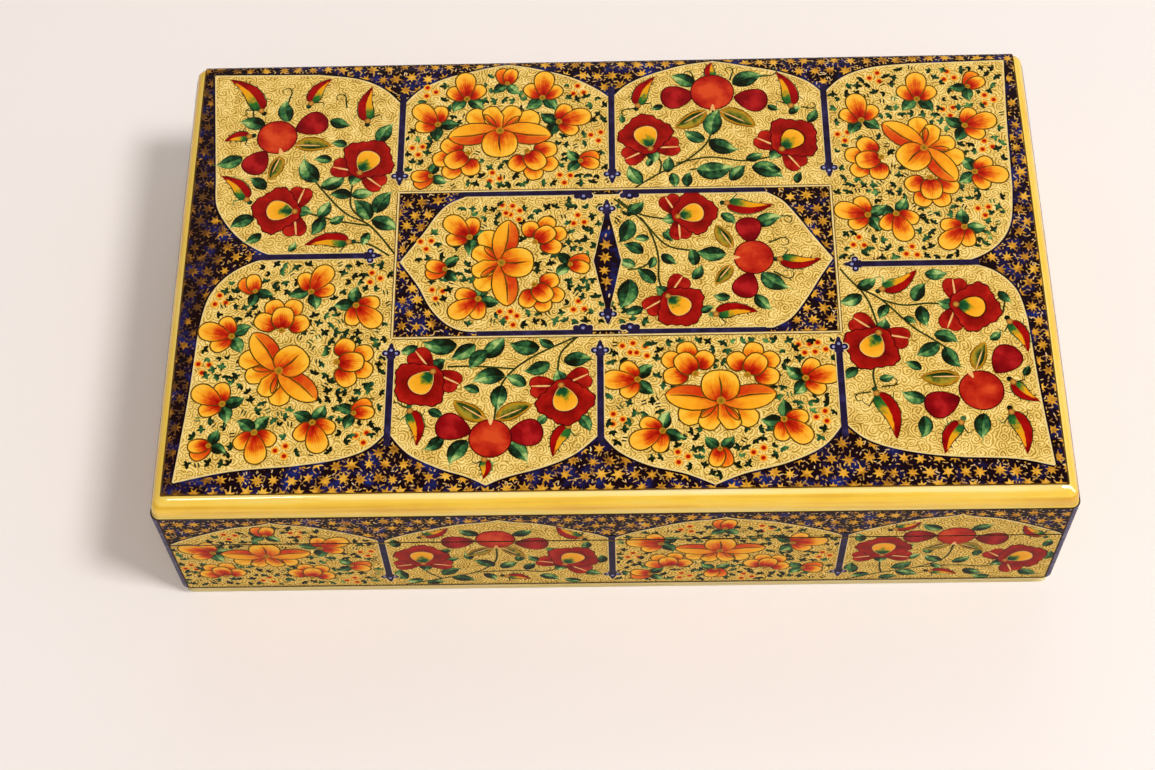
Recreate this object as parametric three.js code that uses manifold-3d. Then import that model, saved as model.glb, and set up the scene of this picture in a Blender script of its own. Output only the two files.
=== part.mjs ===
// A flat lacquer box with a hinged lid.
//
// The carcass is eight mitred softwood walls between a bottom board and a lid board, painted
// and lacquered outside. Two small brass butt hinges are let into the back rims, and card
// panels covered in velvet line the inside.
//
// Millimetres. X runs along the length, Y from the front to the back, Z up from the table.
// The origin is the middle of the underside.

import * as THREE from "three";
import { mergeVertices } from "three/addons/utils/BufferGeometryUtils.js";
import Module from "manifold-3d";

// Outside of the closed box
const boxLength = 254;
const boxWidth = 153;
const boxHeight = 56;
const seamHeight = 33.6; // middle of the seam between base and lid
const seamGap = 0.3;
const cornerRadius = 2.5; // the upright corners, seen from above

// Boards and walls
const wallThickness = 8;
const bottomBoardThickness = 4.2; // its painted edge is the band at the foot
const lidBoardThickness = 6.4; // its painted edge is the gold band
const lidEdgeRadius = 5; // round-over along the lid's top edge
const glueGap = 0.3; // between mitred ends, and behind each lining panel

// Back rims, bevelled so that the lid stops just past upright
const hingeInset = 2.1; // from the back face to the hinge axis
const bevelAngle = 50; // degrees from level, on each rim

// Hinges
const hingeLength = 25;
const hingeFromEnd = 47; // from the box's end to the middle of a hinge
const knuckleCount = 5;
const knuckleGap = 0.3;
const barrelRadius = 1.5;
const leafThickness = 0.9;
const leafEdgeGap = 0.3; // from the leaf's free edge to the wall's inner face
const gainClearance = 0.3; // round a hinge in the wood
const pinRadius = 0.75;
const pinClearance = 0.2;

// Countersunk hinge screws
const screwHeadRadius = 1.5;
const screwShankRadius = 0.7;
const screwLength = 6;
const screwPointLength = 1.6;
const screwSlotWidth = 0.4;
const screwSlotDepth = 0.35;
const screwSpacing = 15; // between the two screws of a leaf
const screwClearance = 0.25; // round a screw, in the leaf and in the wood

// Lining
const liningThickness = 2;
const liningReveal = 1; // how far each wall panel stops short of the rim
const padThickness = 3;

// Facets of round shapes
const cornerSegments = 8;
const edgeSegments = 10;
const roundSegments = 24;

const wasm = await Module();
wasm.setup();

const paint = (color) => new THREE.MeshStandardMaterial({ color, roughness: 0.18, metalness: 0 });
const goldGround = paint(0xe6c26a);
const goldEdge = paint(0xf6cd58);
const creamEdge = paint(0xeed592);
const brass = new THREE.MeshStandardMaterial({ color: 0xc9a04e, roughness: 0.35, metalness: 1 });
const velvet = new THREE.MeshStandardMaterial({ color: 0x7d1020, roughness: 0.95, metalness: 0 });

const box = new THREE.Group();

function addPiece(name, geometry, material, position = [0, 0, 0]) {
  const mesh = new THREE.Mesh(geometry, material);
  mesh.name = name;
  mesh.position.set(...position);
  box.add(mesh);
}

// Solids for joining and cutting

function toSolid(geometry) {
  const bare = geometry.clone();
  bare.deleteAttribute("normal");
  bare.deleteAttribute("uv");
  const merged = mergeVertices(bare, 1e-4);
  return new wasm.Manifold(
    new wasm.Mesh({
      numProp: 3,
      vertProperties: new Float32Array(merged.attributes.position.array),
      triVerts: new Uint32Array(merged.index.array),
    }),
  );
}

function toGeometry(solid) {
  const mesh = solid.getMesh();
  const geometry = new THREE.BufferGeometry();
  geometry.setAttribute("position", new THREE.BufferAttribute(mesh.vertProperties, 3));
  geometry.setIndex(new THREE.BufferAttribute(mesh.triVerts, 1));
  geometry.computeVertexNormals();
  return geometry;
}

function subtractAll(geometry, cutters) {
  const cut = cutters.reduce((left, cutter) => left.subtract(toSolid(cutter)), toSolid(geometry));
  return toGeometry(cut);
}

// A box given by its lowest and highest corners
function block([x0, y0, z0], [x1, y1, z1]) {
  const geometry = new THREE.BoxGeometry(x1 - x0, y1 - y0, z1 - z0);
  return geometry.translate((x0 + x1) / 2, (y0 + y1) / 2, (z0 + z1) / 2);
}

function extrude(shape, depth) {
  return new THREE.ExtrudeGeometry(shape, {
    depth,
    bevelEnabled: false,
    curveSegments: cornerSegments,
  });
}

// A profile drawn in Y and Z, run along X about the middle of the box
function runAlongX(shape, length, curveSegments = edgeSegments) {
  const geometry = new THREE.ExtrudeGeometry(shape, { depth: length, bevelEnabled: false, curveSegments });
  const [alongY, alongZ, alongX] = [[0, 1, 0], [0, 0, 1], [1, 0, 0]].map((v) => new THREE.Vector3(...v));
  geometry.translate(0, 0, -length / 2);
  return geometry.applyMatrix4(new THREE.Matrix4().makeBasis(alongY, alongZ, alongX));
}

// A round bar along X through a point of the Y-Z plane. A full arc gets two facets a segment.
function barAlongX(radius, length, x, y, z) {
  const circle = new THREE.Shape().absarc(0, 0, radius, 0, 2 * Math.PI);
  return runAlongX(circle, length, roundSegments / 2).translate(x, y, z);
}

// Heights and depths that several pieces share

const baseRim = seamHeight - seamGap / 2;
const lidRim = seamHeight + seamGap / 2;
const lidBoardUnderside = boxHeight - lidBoardThickness;
const hingeAxisY = boxWidth / 2 - hingeInset;
const backInnerFace = boxWidth / 2 - wallThickness;

// Mitred walls

// One wall seen from above, its outer face at the front, its ends cut at 45 degrees
function mitredWallPlan(outerLength, outerWidth) {
  const frontY = -outerWidth / 2;
  const arcX = outerLength / 2 - cornerRadius;
  const arcY = frontY + cornerRadius;
  const toMitre = Math.PI / 4 - Math.asin(glueGap / 2 / cornerRadius);
  const down = 1.5 * Math.PI;
  const innerX = outerLength / 2 - wallThickness - glueGap / Math.SQRT2;
  const plan = new THREE.Shape();
  plan.absarc(-arcX, arcY, cornerRadius, down - toMitre, down, false);
  plan.absarc(arcX, arcY, cornerRadius, down, down + toMitre, false);
  plan.lineTo(innerX, frontY + wallThickness);
  plan.lineTo(-innerX, frontY + wallThickness);
  plan.closePath();
  return plan;
}

const quarterTurn = Math.PI / 2;
const wallSides = [
  { side: "front", turn: 0, length: boxLength, width: boxWidth },
  { side: "right", turn: quarterTurn, length: boxWidth, width: boxLength },
  { side: "back", turn: 2 * quarterTurn, length: boxLength, width: boxWidth },
  { side: "left", turn: 3 * quarterTurn, length: boxWidth, width: boxLength },
];

// The wedge that bevels a back rim from the hinge axis out. It points up for the lid.
function rimBevel(rimHeight, direction) {
  const past = 1;
  const reach = hingeInset + past;
  const rise = direction * reach * Math.tan(THREE.MathUtils.degToRad(bevelAngle));
  const wedge = new THREE.Shape();
  wedge.moveTo(hingeAxisY, rimHeight);
  if (direction < 0) {
    wedge.lineTo(hingeAxisY + reach, rimHeight + rise);
    wedge.lineTo(hingeAxisY + reach, rimHeight + past);
    wedge.lineTo(hingeAxisY, rimHeight + past);
  } else {
    wedge.lineTo(hingeAxisY, rimHeight - past);
    wedge.lineTo(hingeAxisY + reach, rimHeight - past);
    wedge.lineTo(hingeAxisY + reach, rimHeight + rise);
  }
  wedge.closePath();
  return runAlongX(wedge, boxLength + 2 * past);
}

const hingeCentreX = boxLength / 2 - hingeFromEnd;
const hingeCentres = { left: -hingeCentreX, right: hingeCentreX };
const leafWidth = hingeAxisY - backInnerFace - leafEdgeGap;
const screwY = hingeAxisY - (barrelRadius + leafWidth) / 2;
const screwOffsets = [-screwSpacing / 2, screwSpacing / 2];

// Wood taken out of a back rim for one hinge: the leaf's gain, the barrel's groove, two pilots
function hingeRecess(centreX, rimHeight, direction) {
  const past = 1;
  const halfLength = hingeLength / 2 + gainClearance;
  const floor = rimHeight + direction * (leafThickness + gainClearance);
  const open = rimHeight - direction * past;
  const gain = block(
    [centreX - halfLength, backInnerFace - past, Math.min(floor, open)],
    [centreX + halfLength, hingeAxisY, Math.max(floor, open)],
  );
  const groove = barAlongX(barrelRadius + gainClearance, 2 * halfLength, centreX, hingeAxisY, seamHeight);
  const pilotDepth = screwLength + screwClearance;
  const pilots = screwOffsets.map((offset) => {
    const pilot = new THREE.CylinderGeometry(
      screwShankRadius + screwClearance,
      screwShankRadius + screwClearance,
      pilotDepth,
      roundSegments,
    );
    pilot.rotateX(quarterTurn);
    return pilot.translate(centreX + offset, screwY, rimHeight + (direction * pilotDepth) / 2);
  });
  return [gain, groove, ...pilots];
}

function addWalls(body, bottom, top, rimHeight, direction) {
  for (const { side, turn, length, width } of wallSides) {
    const wall = extrude(mitredWallPlan(length, width), top - bottom);
    wall.rotateZ(turn);
    wall.translate(0, 0, bottom);
    const cutters = side === "front" ? [] : [rimBevel(rimHeight, direction)];
    if (side === "back") {
      for (const centreX of Object.values(hingeCentres)) {
        cutters.push(...hingeRecess(centreX, rimHeight, direction));
      }
    }
    const name = body === "base" ? `base_${side}_wall` : `lid_${side}_rail`;
    addPiece(name, cutters.length ? subtractAll(wall, cutters) : wall, goldGround);
  }
}

addWalls("base", bottomBoardThickness, baseRim, baseRim, -1);
addWalls("lid", lidRim, lidBoardUnderside, lidRim, 1);

// Boards

function roundedPlan() {
  const halfX = boxLength / 2 - cornerRadius;
  const halfY = boxWidth / 2 - cornerRadius;
  const corners = [
    [halfX, halfY, 0],
    [-halfX, halfY, quarterTurn],
    [-halfX, -halfY, 2 * quarterTurn],
    [halfX, -halfY, 3 * quarterTurn],
  ];
  const plan = new THREE.Shape();
  for (const [x, y, start] of corners) {
    plan.absarc(x, y, cornerRadius, start, start + quarterTurn, false);
  }
  plan.closePath();
  return plan;
}

addPiece("base_bottom_board", extrude(roundedPlan(), bottomBoardThickness), creamEdge);

// The lid board's end view, with both top corners rounded over
function roundedOverProfile(width) {
  const half = width / 2;
  const arcX = half - lidEdgeRadius;
  const arcZ = lidBoardThickness - lidEdgeRadius;
  const profile = new THREE.Shape();
  profile.moveTo(-half, 0);
  profile.lineTo(half, 0);
  profile.absarc(arcX, arcZ, lidEdgeRadius, 0, quarterTurn, false);
  profile.absarc(-arcX, arcZ, lidEdgeRadius, quarterTurn, 2 * quarterTurn, false);
  profile.closePath();
  return profile;
}

function lidBoard() {
  const alongLength = toSolid(runAlongX(roundedOverProfile(boxWidth), boxLength));
  const acrossWidth = toSolid(runAlongX(roundedOverProfile(boxLength), boxWidth).rotateZ(quarterTurn));
  const plan = toSolid(extrude(roundedPlan(), lidBoardThickness));
  return toGeometry(alongLength.intersect(acrossWidth).intersect(plan));
}

addPiece("lid_top_board", lidBoard(), goldEdge, [0, 0, lidBoardUnderside]);

// Brass butt hinges

const knucklePitch = hingeLength / knuckleCount;
const knuckleStarts = Array.from({ length: knuckleCount }, (_, i) => -hingeLength / 2 + i * knucklePitch);

// One leaf: a plate let into the rim, with every other knuckle rolled round the pin
function hingeLeaf(centreX, rimHeight, direction, ownKnuckle) {
  const plateBack = rimHeight + direction * leafThickness;
  let leaf = toSolid(
    block(
      [-hingeLength / 2, hingeAxisY - leafWidth, Math.min(rimHeight, plateBack)],
      [hingeLength / 2, hingeAxisY, Math.max(rimHeight, plateBack)],
    ),
  );
  knuckleStarts.forEach((start, index) => {
    const middle = start + knucklePitch / 2;
    if (index % 2 === ownKnuckle) {
      const length = knucklePitch - knuckleGap;
      leaf = leaf.add(toSolid(barAlongX(barrelRadius, length, middle, hingeAxisY, seamHeight)));
    } else {
      const length = knucklePitch + knuckleGap;
      const room = barAlongX(barrelRadius + knuckleGap, length, middle, hingeAxisY, seamHeight);
      leaf = leaf.subtract(toSolid(room));
    }
  });
  const bore = barAlongX(pinRadius + pinClearance, hingeLength + 2, 0, hingeAxisY, seamHeight);
  leaf = leaf.subtract(toSolid(bore));
  for (const offset of screwOffsets) {
    leaf = leaf.subtract(toSolid(countersink(direction).translate(offset, screwY, rimHeight)));
  }
  return toGeometry(leaf).translate(centreX, 0, 0);
}

// A solid of revolution about Z, from [radius, height] pairs going up
function turned(profile) {
  const points = profile.map(([radius, height]) => new THREE.Vector2(radius, height));
  return new THREE.LatheGeometry(points, roundSegments).rotateX(quarterTurn);
}

const headDepth = screwHeadRadius - screwShankRadius; // a right-angled countersink

// The hole for a screw whose head lies flush at height 0. It points down for the base.
function countersink(direction) {
  const past = 1;
  const shank = screwShankRadius + screwClearance;
  const hole = turned([
    [0, -leafThickness - past],
    [shank, -leafThickness - past],
    [shank, -headDepth],
    [shank + headDepth, 0],
    [shank + headDepth, past],
    [0, past],
  ]);
  return direction < 0 ? hole : hole.rotateX(2 * quarterTurn);
}

function screw(direction) {
  const turnedScrew = turned([
    [0, -screwLength],
    [screwShankRadius, screwPointLength - screwLength],
    [screwShankRadius, -headDepth],
    [screwHeadRadius, 0],
    [0, 0],
  ]);
  const slot = block(
    [-screwHeadRadius - 1, -screwSlotWidth / 2, -screwSlotDepth],
    [screwHeadRadius + 1, screwSlotWidth / 2, 1],
  );
  const slotted = subtractAll(turnedScrew, [slot]);
  return direction < 0 ? slotted : slotted.rotateX(2 * quarterTurn);
}

const leafSets = [
  { body: "base", rimHeight: baseRim, direction: -1, ownKnuckle: 0 },
  { body: "lid", rimHeight: lidRim, direction: 1, ownKnuckle: 1 },
];

for (const [place, centreX] of Object.entries(hingeCentres)) {
  for (const { body, rimHeight, direction, ownKnuckle } of leafSets) {
    const leaf = hingeLeaf(centreX, rimHeight, direction, ownKnuckle);
    addPiece(`${place}_hinge_${body}_leaf`, leaf, brass);
    screwOffsets.forEach((offset, index) => {
      const name = `${place}_hinge_${body}_screw_${index + 1}`;
      addPiece(name, screw(direction), brass, [centreX + offset, screwY, rimHeight]);
    });
  }
  const pin = new THREE.CylinderGeometry(pinRadius, pinRadius, hingeLength, roundSegments);
  pin.rotateZ(quarterTurn);
  addPiece(`${place}_hinge_pin`, pin, brass, [centreX, hingeAxisY, seamHeight]);
}

// Velvet lining: four wall panels and a pad in the base, and the same in the lid

const insideX = boxLength / 2 - wallThickness - glueGap;
const insideY = boxWidth / 2 - wallThickness - glueGap;

function addLining(body, bottom, top, padBottom) {
  const faceY = insideY - liningThickness;
  const faceX = insideX - liningThickness;
  const sideEnd = faceY - glueGap;
  const panels = {
    front: block([-insideX, -insideY, bottom], [insideX, -faceY, top]),
    back: block([-insideX, faceY, bottom], [insideX, insideY, top]),
    left: block([-insideX, -sideEnd, bottom], [-faceX, sideEnd, top]),
    right: block([faceX, -sideEnd, bottom], [insideX, sideEnd, top]),
  };
  for (const [side, panel] of Object.entries(panels)) {
    addPiece(`${body}_${side}_lining`, panel, velvet);
  }
  const padX = faceX - glueGap;
  const padY = faceY - glueGap;
  const pad = block([-padX, -padY, padBottom], [padX, padY, padBottom + padThickness]);
  addPiece(body === "base" ? "base_floor_pad" : "lid_pad", pad, velvet);
}

const floorPadBottom = bottomBoardThickness + glueGap;
const lidPadBottom = lidBoardUnderside - glueGap - padThickness;
addLining("base", floorPadBottom, baseRim - liningReveal, floorPadBottom);
addLining("lid", lidRim + liningReveal, lidBoardUnderside - glueGap, lidPadBottom);

export default box;
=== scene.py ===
import math
import random
import bmesh
import bpy
from mathutils import Euler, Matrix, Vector


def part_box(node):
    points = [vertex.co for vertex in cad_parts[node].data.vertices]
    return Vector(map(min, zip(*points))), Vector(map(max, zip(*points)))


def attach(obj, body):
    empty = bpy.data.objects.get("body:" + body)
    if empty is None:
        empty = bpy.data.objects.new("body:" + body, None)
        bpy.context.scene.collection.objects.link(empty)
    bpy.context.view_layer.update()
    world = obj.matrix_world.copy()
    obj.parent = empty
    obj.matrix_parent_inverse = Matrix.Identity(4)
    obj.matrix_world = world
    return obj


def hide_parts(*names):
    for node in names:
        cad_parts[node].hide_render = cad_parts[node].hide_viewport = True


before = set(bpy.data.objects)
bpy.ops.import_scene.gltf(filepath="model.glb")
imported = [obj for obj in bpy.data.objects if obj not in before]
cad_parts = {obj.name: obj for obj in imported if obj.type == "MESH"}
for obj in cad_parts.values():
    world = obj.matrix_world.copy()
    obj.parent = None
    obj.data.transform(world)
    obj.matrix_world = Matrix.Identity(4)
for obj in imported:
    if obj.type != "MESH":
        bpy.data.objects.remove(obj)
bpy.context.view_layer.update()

# The table: a pale, faintly warm top, wide enough to run out of sight, seen from in front of the box
# and well above it. Soft light comes from the right, from in front and from behind, and two windows only
# glint on the box. The room is dark overhead, so the lid mirrors nothing bright, and its walls are pale.
mm = 0.001
table_side = 8.0
table_white = (0.94, 0.866, 0.828, 1)
table_roughness = 0.9
lamps_aim = Vector((0, 0, 0.03))
wall_tint = (1, 0.94, 0.87)
pale_wall = (0.66, 0.6, 0.56, 1)

camera_data = bpy.data.cameras.new("camera")
camera_data.lens = 64.65
camera_data.shift_x = 0.0048
camera_data.shift_y = 0.0022
camera = bpy.data.objects.new("camera", camera_data)
camera.location = Vector((3.13, -324.09, 559.75)) * mm
camera.rotation_mode = "YXZ"
camera.rotation_euler = Euler((0.5127, 0.0325, -0.0166), "YXZ")
bpy.context.scene.collection.objects.link(camera)
bpy.context.scene.camera = camera
bpy.context.scene.view_settings.view_transform = "Standard"


def piece(name, mesh, materials, smooth=True):
    """A new object that holds this bmesh, in metres, with its faces shaded smooth or flat."""
    data = bpy.data.meshes.new(name)
    for face in mesh.faces:
        face.smooth = smooth
    mesh.to_mesh(data)
    mesh.free()
    for material in materials:
        data.materials.append(material)
    made = bpy.data.objects.new(name, data)
    bpy.context.scene.collection.objects.link(made)
    return made


table_top = bpy.data.materials.new("table_top")
table_top.use_nodes = True
table_shader = table_top.node_tree.nodes["Principled BSDF"]
table_shader.inputs["Base Color"].default_value = table_white
table_shader.inputs["Roughness"].default_value = table_roughness
table_mesh = bmesh.new()
bmesh.ops.create_grid(table_mesh, x_segments=1, y_segments=1, size=table_side / 2)
piece("table", table_mesh, [table_top])


def soft_light(name, place, wide, power, tall=None, lights=True):
    """A flat lamp that faces the box, as tall as it is wide unless it is told otherwise. One that
    lights nothing is only mirrored."""
    data = bpy.data.lights.new(name, "AREA")
    data.shape = "RECTANGLE"
    data.size = wide
    data.size_y = tall or wide
    data.energy = power
    lamp = bpy.data.objects.new(name, data)
    lamp.location = place
    lamp.visible_diffuse = lights
    lamp.rotation_euler = (lamps_aim - lamp.location).to_track_quat("-Z", "Y").to_euler()
    bpy.context.scene.collection.objects.link(lamp)


soft_light("right_lamp", Vector((0.98, -0.45, 1.92)), wide=0.43, power=27)
soft_light("right_window", Vector((1.6, -0.2, 1.3)), wide=0.5, power=50, tall=2.0, lights=False)
soft_light("front_lamp", Vector((0.1, -1.5, 3.1)), wide=1.6, power=26)
soft_light("back_window", Vector((0.3, 2.4, 1.5)), wide=1.8, power=9)
soft_light("left_window", Vector((-0.6, -0.85, 2.05)), wide=0.07, power=4, tall=0.5, lights=False)

room = bpy.data.worlds.new("room")
room.use_nodes = True
nodes = room.node_tree.nodes
links = room.node_tree.links
split = nodes.new("ShaderNodeSeparateXYZ")
links.new(nodes.new("ShaderNodeTexCoord").outputs["Generated"], split.inputs["Vector"])
walls = nodes.new("ShaderNodeValToRGB")
stops = ((0.0, 0.2), (0.3, 0.26), (0.55, 0.46), (0.74, 0.5), (0.8, 0.4), (0.86, 0.08), (0.92, 0.02))
while len(walls.color_ramp.elements) < len(stops):
    walls.color_ramp.elements.new(0.5)
for stop, (height, strength) in zip(walls.color_ramp.elements, stops):
    stop.position = height
    stop.color = [strength * tint for tint in wall_tint] + [1]
links.new(split.outputs["Z"], walls.inputs["Fac"])
seen = nodes.new("ShaderNodeMixRGB")
seen.inputs["Color2"].default_value = pale_wall
links.new(nodes.new("ShaderNodeLightPath").outputs["Is Camera Ray"], seen.inputs["Fac"])
links.new(walls.outputs["Color"], seen.inputs["Color1"])
links.new(seen.outputs["Color"], nodes["Background"].inputs["Color"])
nodes["Background"].inputs["Strength"].default_value = 1.0
bpy.context.scene.world = room


# The clear lacquer: several coats rubbed smooth over every painted surface, so all the paints share
# one gloss, with the faint waviness of brushed varnish. A paint's own colours are mixed underneath.
def colour(code):
    """A colour written as #RRGGBB, as a shader takes it."""
    parts = [int(code[i:i + 2], 16) / 255 for i in (1, 3, 5)]
    return [p / 12.92 if p < 0.04 else ((p + 0.055) / 1.055) ** 2.4 for p in parts] + [1]


class Paint:
    """One paint under the lacquer, whose colours are mixed from nodes."""

    def __init__(self, name):
        self.material = bpy.data.materials.new(name)
        self.material.use_nodes = True
        self.tree = self.material.node_tree
        self.shader = self.tree.nodes["Principled BSDF"]
        self.place = self.node("TexCoord").outputs["Object"]

    def node(self, kind, inputs=(), **settings):
        made = self.tree.nodes.new("ShaderNode" + kind)
        for name, value in settings.items():
            setattr(made, name, value)
        for name, value in dict(inputs).items():
            if isinstance(value, bpy.types.NodeSocket):
                self.tree.links.new(value, made.inputs[name])
            else:
                made.inputs[name].default_value = value
        return made

    def sum(self, first, second, operation="ADD"):
        return self.node("Math", {0: first, 1: second}, operation=operation).outputs[0]

    def stroke(self):
        """How far along and across its brush stroke each point lies, both from 0 to 1."""
        split = self.node("SeparateXYZ", {"Vector": self.node("UVMap", uv_map="stroke").outputs["UV"]})
        return split.outputs["X"], split.outputs["Y"]

    def mottle(self, size, strength=1.0, detail=2.0, stretch=(1, 1, 1)):
        """Soft blotches of that size in metres, from -strength to strength."""
        place = self.node("Mapping", {"Vector": self.place, "Scale": stretch}).outputs[0]
        noise = self.node("TexNoise", {"Vector": place, "Scale": 1 / size, "Detail": detail})
        centred = self.sum(noise.outputs["Fac"], 0.5, "SUBTRACT")
        return self.sum(centred, 2 * strength, "MULTIPLY")

    def ramp(self, factor, stops):
        """Colours given as (place from 0 to 1, code), read at the factor."""
        made = self.node("ValToRGB", {"Fac": factor})
        elements = made.color_ramp.elements
        while len(elements) < len(stops):
            elements.new(0.5)
        for element, (spot, code) in zip(elements, stops):
            element.position = spot
            element.color = colour(code)
        return made.outputs["Color"]

    def blend(self, factor, first, second):
        made = self.node("Mix", {"Factor": factor}, data_type="RGBA")
        for socket, value in zip((made.inputs[6], made.inputs[7]), (first, second)):
            if isinstance(value, str):
                socket.default_value = colour(value)
            else:
                self.tree.links.new(value, socket)
        return made.outputs[2]

    def lacquer(self, mixed, gloss=0.25):
        """Finishes the paint with that colour and lays the lacquer over it."""
        self.tree.links.new(mixed, self.shader.inputs["Base Color"])
        self.shader.inputs["Roughness"].default_value = 0.5
        self.shader.inputs["Specular IOR Level"].default_value = 0.0
        self.shader.inputs["Coat Weight"].default_value = gloss
        self.shader.inputs["Coat Roughness"].default_value = 0.07
        waves = self.mottle(11 * mm, 0.5, 1.0)
        brushing = self.mottle(0.5 * mm, 0.04, 1.0)
        height = self.sum(waves, brushing)
        bump = self.node("Bump", {"Height": height, "Strength": 1.0, "Distance": 0.05 * mm})
        for socket in ("Normal", "Coat Normal"):
            self.tree.links.new(bump.outputs["Normal"], self.shader.inputs[socket])
        return self.material


def mottled(name, size, strength, stops, detail=2.0, stretch=(1, 1, 1), level=0.5):
    """A lacquered paint whose colour drifts through the stops in soft blotches of that size."""
    made = Paint(name)
    tone = made.sum(made.mottle(size, strength, detail, stretch), level)
    return made.lacquer(made.ramp(tone, stops))


# The foot board: the board that closes the base underneath. Its edge stands on show all round as a
# cream band, rubbed round at both arrises, and its two faces are stained dark.
foot_low, foot_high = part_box("base_bottom_board")
half_length = foot_high.x
half_width = foot_high.y
corner_radius = 2.5 * mm
corner_segments = 8

cream = mottled("cream_edge_paint", 9 * mm, 0.5, [(0.0, "#E2B85A"), (0.35, "#F4DA8E"), (1.0, "#FFF0C4")],
                detail=3, stretch=(0.15, 0.15, 2))
stain = mottled("dark_stain", 14 * mm, 0.6, [(0.0, "#1C0F0B"), (1.0, "#3A2015")], detail=4,
                stretch=(0.2, 2, 1))


def rounded_plan(length, width, height):
    """The box's outline: a flat rectangle with rounded corners, length and width being halves."""
    plan = bmesh.new()
    bmesh.ops.create_grid(plan, x_segments=1, y_segments=1, size=1)
    bmesh.ops.scale(plan, vec=(length, width, 1), verts=plan.verts)
    bmesh.ops.bevel(plan, geom=plan.verts[:], offset=corner_radius, offset_type="OFFSET",
                    segments=corner_segments, profile=0.5, affect="VERTICES", material=-1)
    bmesh.ops.translate(plan, vec=(0, 0, height), verts=plan.verts)
    return plan


def draw_in(verts, inset):
    """Moves each quarter of an outline towards the middle, which keeps its corners' radius."""
    for vertex in verts:
        vertex.co.x -= math.copysign(inset, vertex.co.x)
        vertex.co.y -= math.copysign(inset, vertex.co.y)


def raise_solid(plan, steps):
    """Builds a closed solid from an outline by lifting its top face through (inset, rise) steps."""
    top = plan.faces[:]
    bottom = bmesh.ops.duplicate(plan, geom=top)
    bmesh.ops.reverse_faces(plan, faces=[f for f in bottom["geom"] if isinstance(f, bmesh.types.BMFace)])
    for inset, rise in steps:
        lifted = bmesh.ops.extrude_face_region(plan, geom=top)["geom"]
        bmesh.ops.delete(plan, geom=top, context="FACES_KEEP_BOUNDARY")
        top = [f for f in lifted if isinstance(f, bmesh.types.BMFace)]
        verts = [v for v in lifted if isinstance(v, bmesh.types.BMVert)]
        bmesh.ops.translate(plan, vec=(0, 0, rise), verts=verts)
        draw_in(verts, inset)
    bmesh.ops.remove_doubles(plan, verts=plan.verts, dist=0.001 * mm)
    bmesh.ops.recalc_face_normals(plan, faces=plan.faces)


def quarter_round(radius, segments):
    """The (inset, rise) steps of an arris rounded over to that radius, from upright to flat."""
    angles = [math.pi / 2 * i / segments for i in range(segments + 1)]
    return [(radius * (math.cos(a) - math.cos(b)), radius * (math.sin(b) - math.sin(a)))
            for a, b in zip(angles, angles[1:])]


def round_edged_board(low, high, length, width, under, over):
    """A board from low to high, length and width being halves, with its lower and its upper arris
    each rounded over to a (radius, segments)."""
    steps = [(-inset, rise) for rise, inset in quarter_round(*under)]
    steps += [(0, high.z - low.z - under[0] - over[0])]
    steps += quarter_round(*over) + [(1 * mm, 0)]
    board = rounded_plan(length - under[0], width - under[0], low.z)
    raise_solid(board, steps)
    return board


foot_round = (0.5 * mm, 3)
foot = round_edged_board(foot_low, foot_high, half_length, half_width, foot_round, foot_round)
for face in foot.faces:
    if face.calc_area() > half_length * half_width:
        face.material_index = 1
foot = piece("foot_board", foot, [cream, stain])
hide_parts("base_bottom_board")
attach(foot, "base")


# The base's walls: four boards, mitred at the corners and glued. Their rims stay square, but the back
# one slopes away behind the hinge pins. Dark umber size seals the wood wherever it isn't painted.
umber = mottled("umber_size", 6 * mm, 0.5, [(0.0, "#1E0F08"), (0.6, "#3A2012"), (1.0, "#5A3418")],
                detail=4, stretch=(1, 1, 3))


def finish_node(node, material):
    """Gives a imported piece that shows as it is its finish."""
    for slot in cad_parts[node].material_slots:
        slot.material = material


for side in ("front", "right", "back", "left"):
    finish_node(f"base_{side}_wall", umber)


# The ground coat: a thin shell of chalk and glue over the walls, which the painting lies on. It is
# rolled over at the rims and runs down the slopes at the back. Its corners carry a blue-grey line.
coat_depth = 0.15 * mm
rim_gap = 0.12 * mm
pin = Vector((0, 0.0744, 0.0336))
back_slope = math.radians(50)
squarely_out = 0.995
wall_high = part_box("base_front_wall")[1]
rail_low, rail_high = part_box("lid_front_rail")

corner_blue = mottled("corner_line_blue", 1.6 * mm, 0.6,
                      [(0.0, "#2A2440"), (0.5, "#57516C"), (1.0, "#8A849A")], detail=3, level=0.45)


def slope_cut(mesh, above):
    """Cuts a shell along the slope behind the pins and drops what lies above it, or else below it."""
    way = 1 if above else -1
    normal = Vector((0, math.sin(back_slope), way * math.cos(back_slope)))
    geom = mesh.verts[:] + mesh.edges[:] + mesh.faces[:]
    bmesh.ops.bisect_plane(mesh, geom=geom, plane_co=pin, plane_no=normal, clear_outer=True)


def ground_coat(name, low, high, above, body):
    """The shell over one body's walls, from low to high; above says that its rim is its upper edge."""
    shell = rounded_plan(half_length + coat_depth, half_width + coat_depth, low)
    bmesh.ops.delete(shell, geom=shell.faces[:], context="FACES_ONLY")
    lifted = bmesh.ops.extrude_edge_only(shell, edges=shell.edges[:])["geom"]
    lifted = [v for v in lifted if isinstance(v, bmesh.types.BMVert)]
    bmesh.ops.translate(shell, vec=(0, 0, high - low), verts=lifted)
    bmesh.ops.recalc_face_normals(shell, faces=shell.faces)
    slope_cut(shell, above)
    for face in shell.faces:
        if max(abs(face.normal.x), abs(face.normal.y)) < squarely_out:
            face.material_index = 1
    bmesh.ops.solidify(shell, geom=shell.faces[:], thickness=coat_depth)
    made = piece(name, shell, [umber, corner_blue], smooth=False)
    rolled = made.modifiers.new("rolled_rims", "BEVEL")
    rolled.width = 0.06 * mm
    rolled.segments = 2
    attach(made, body)


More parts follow.
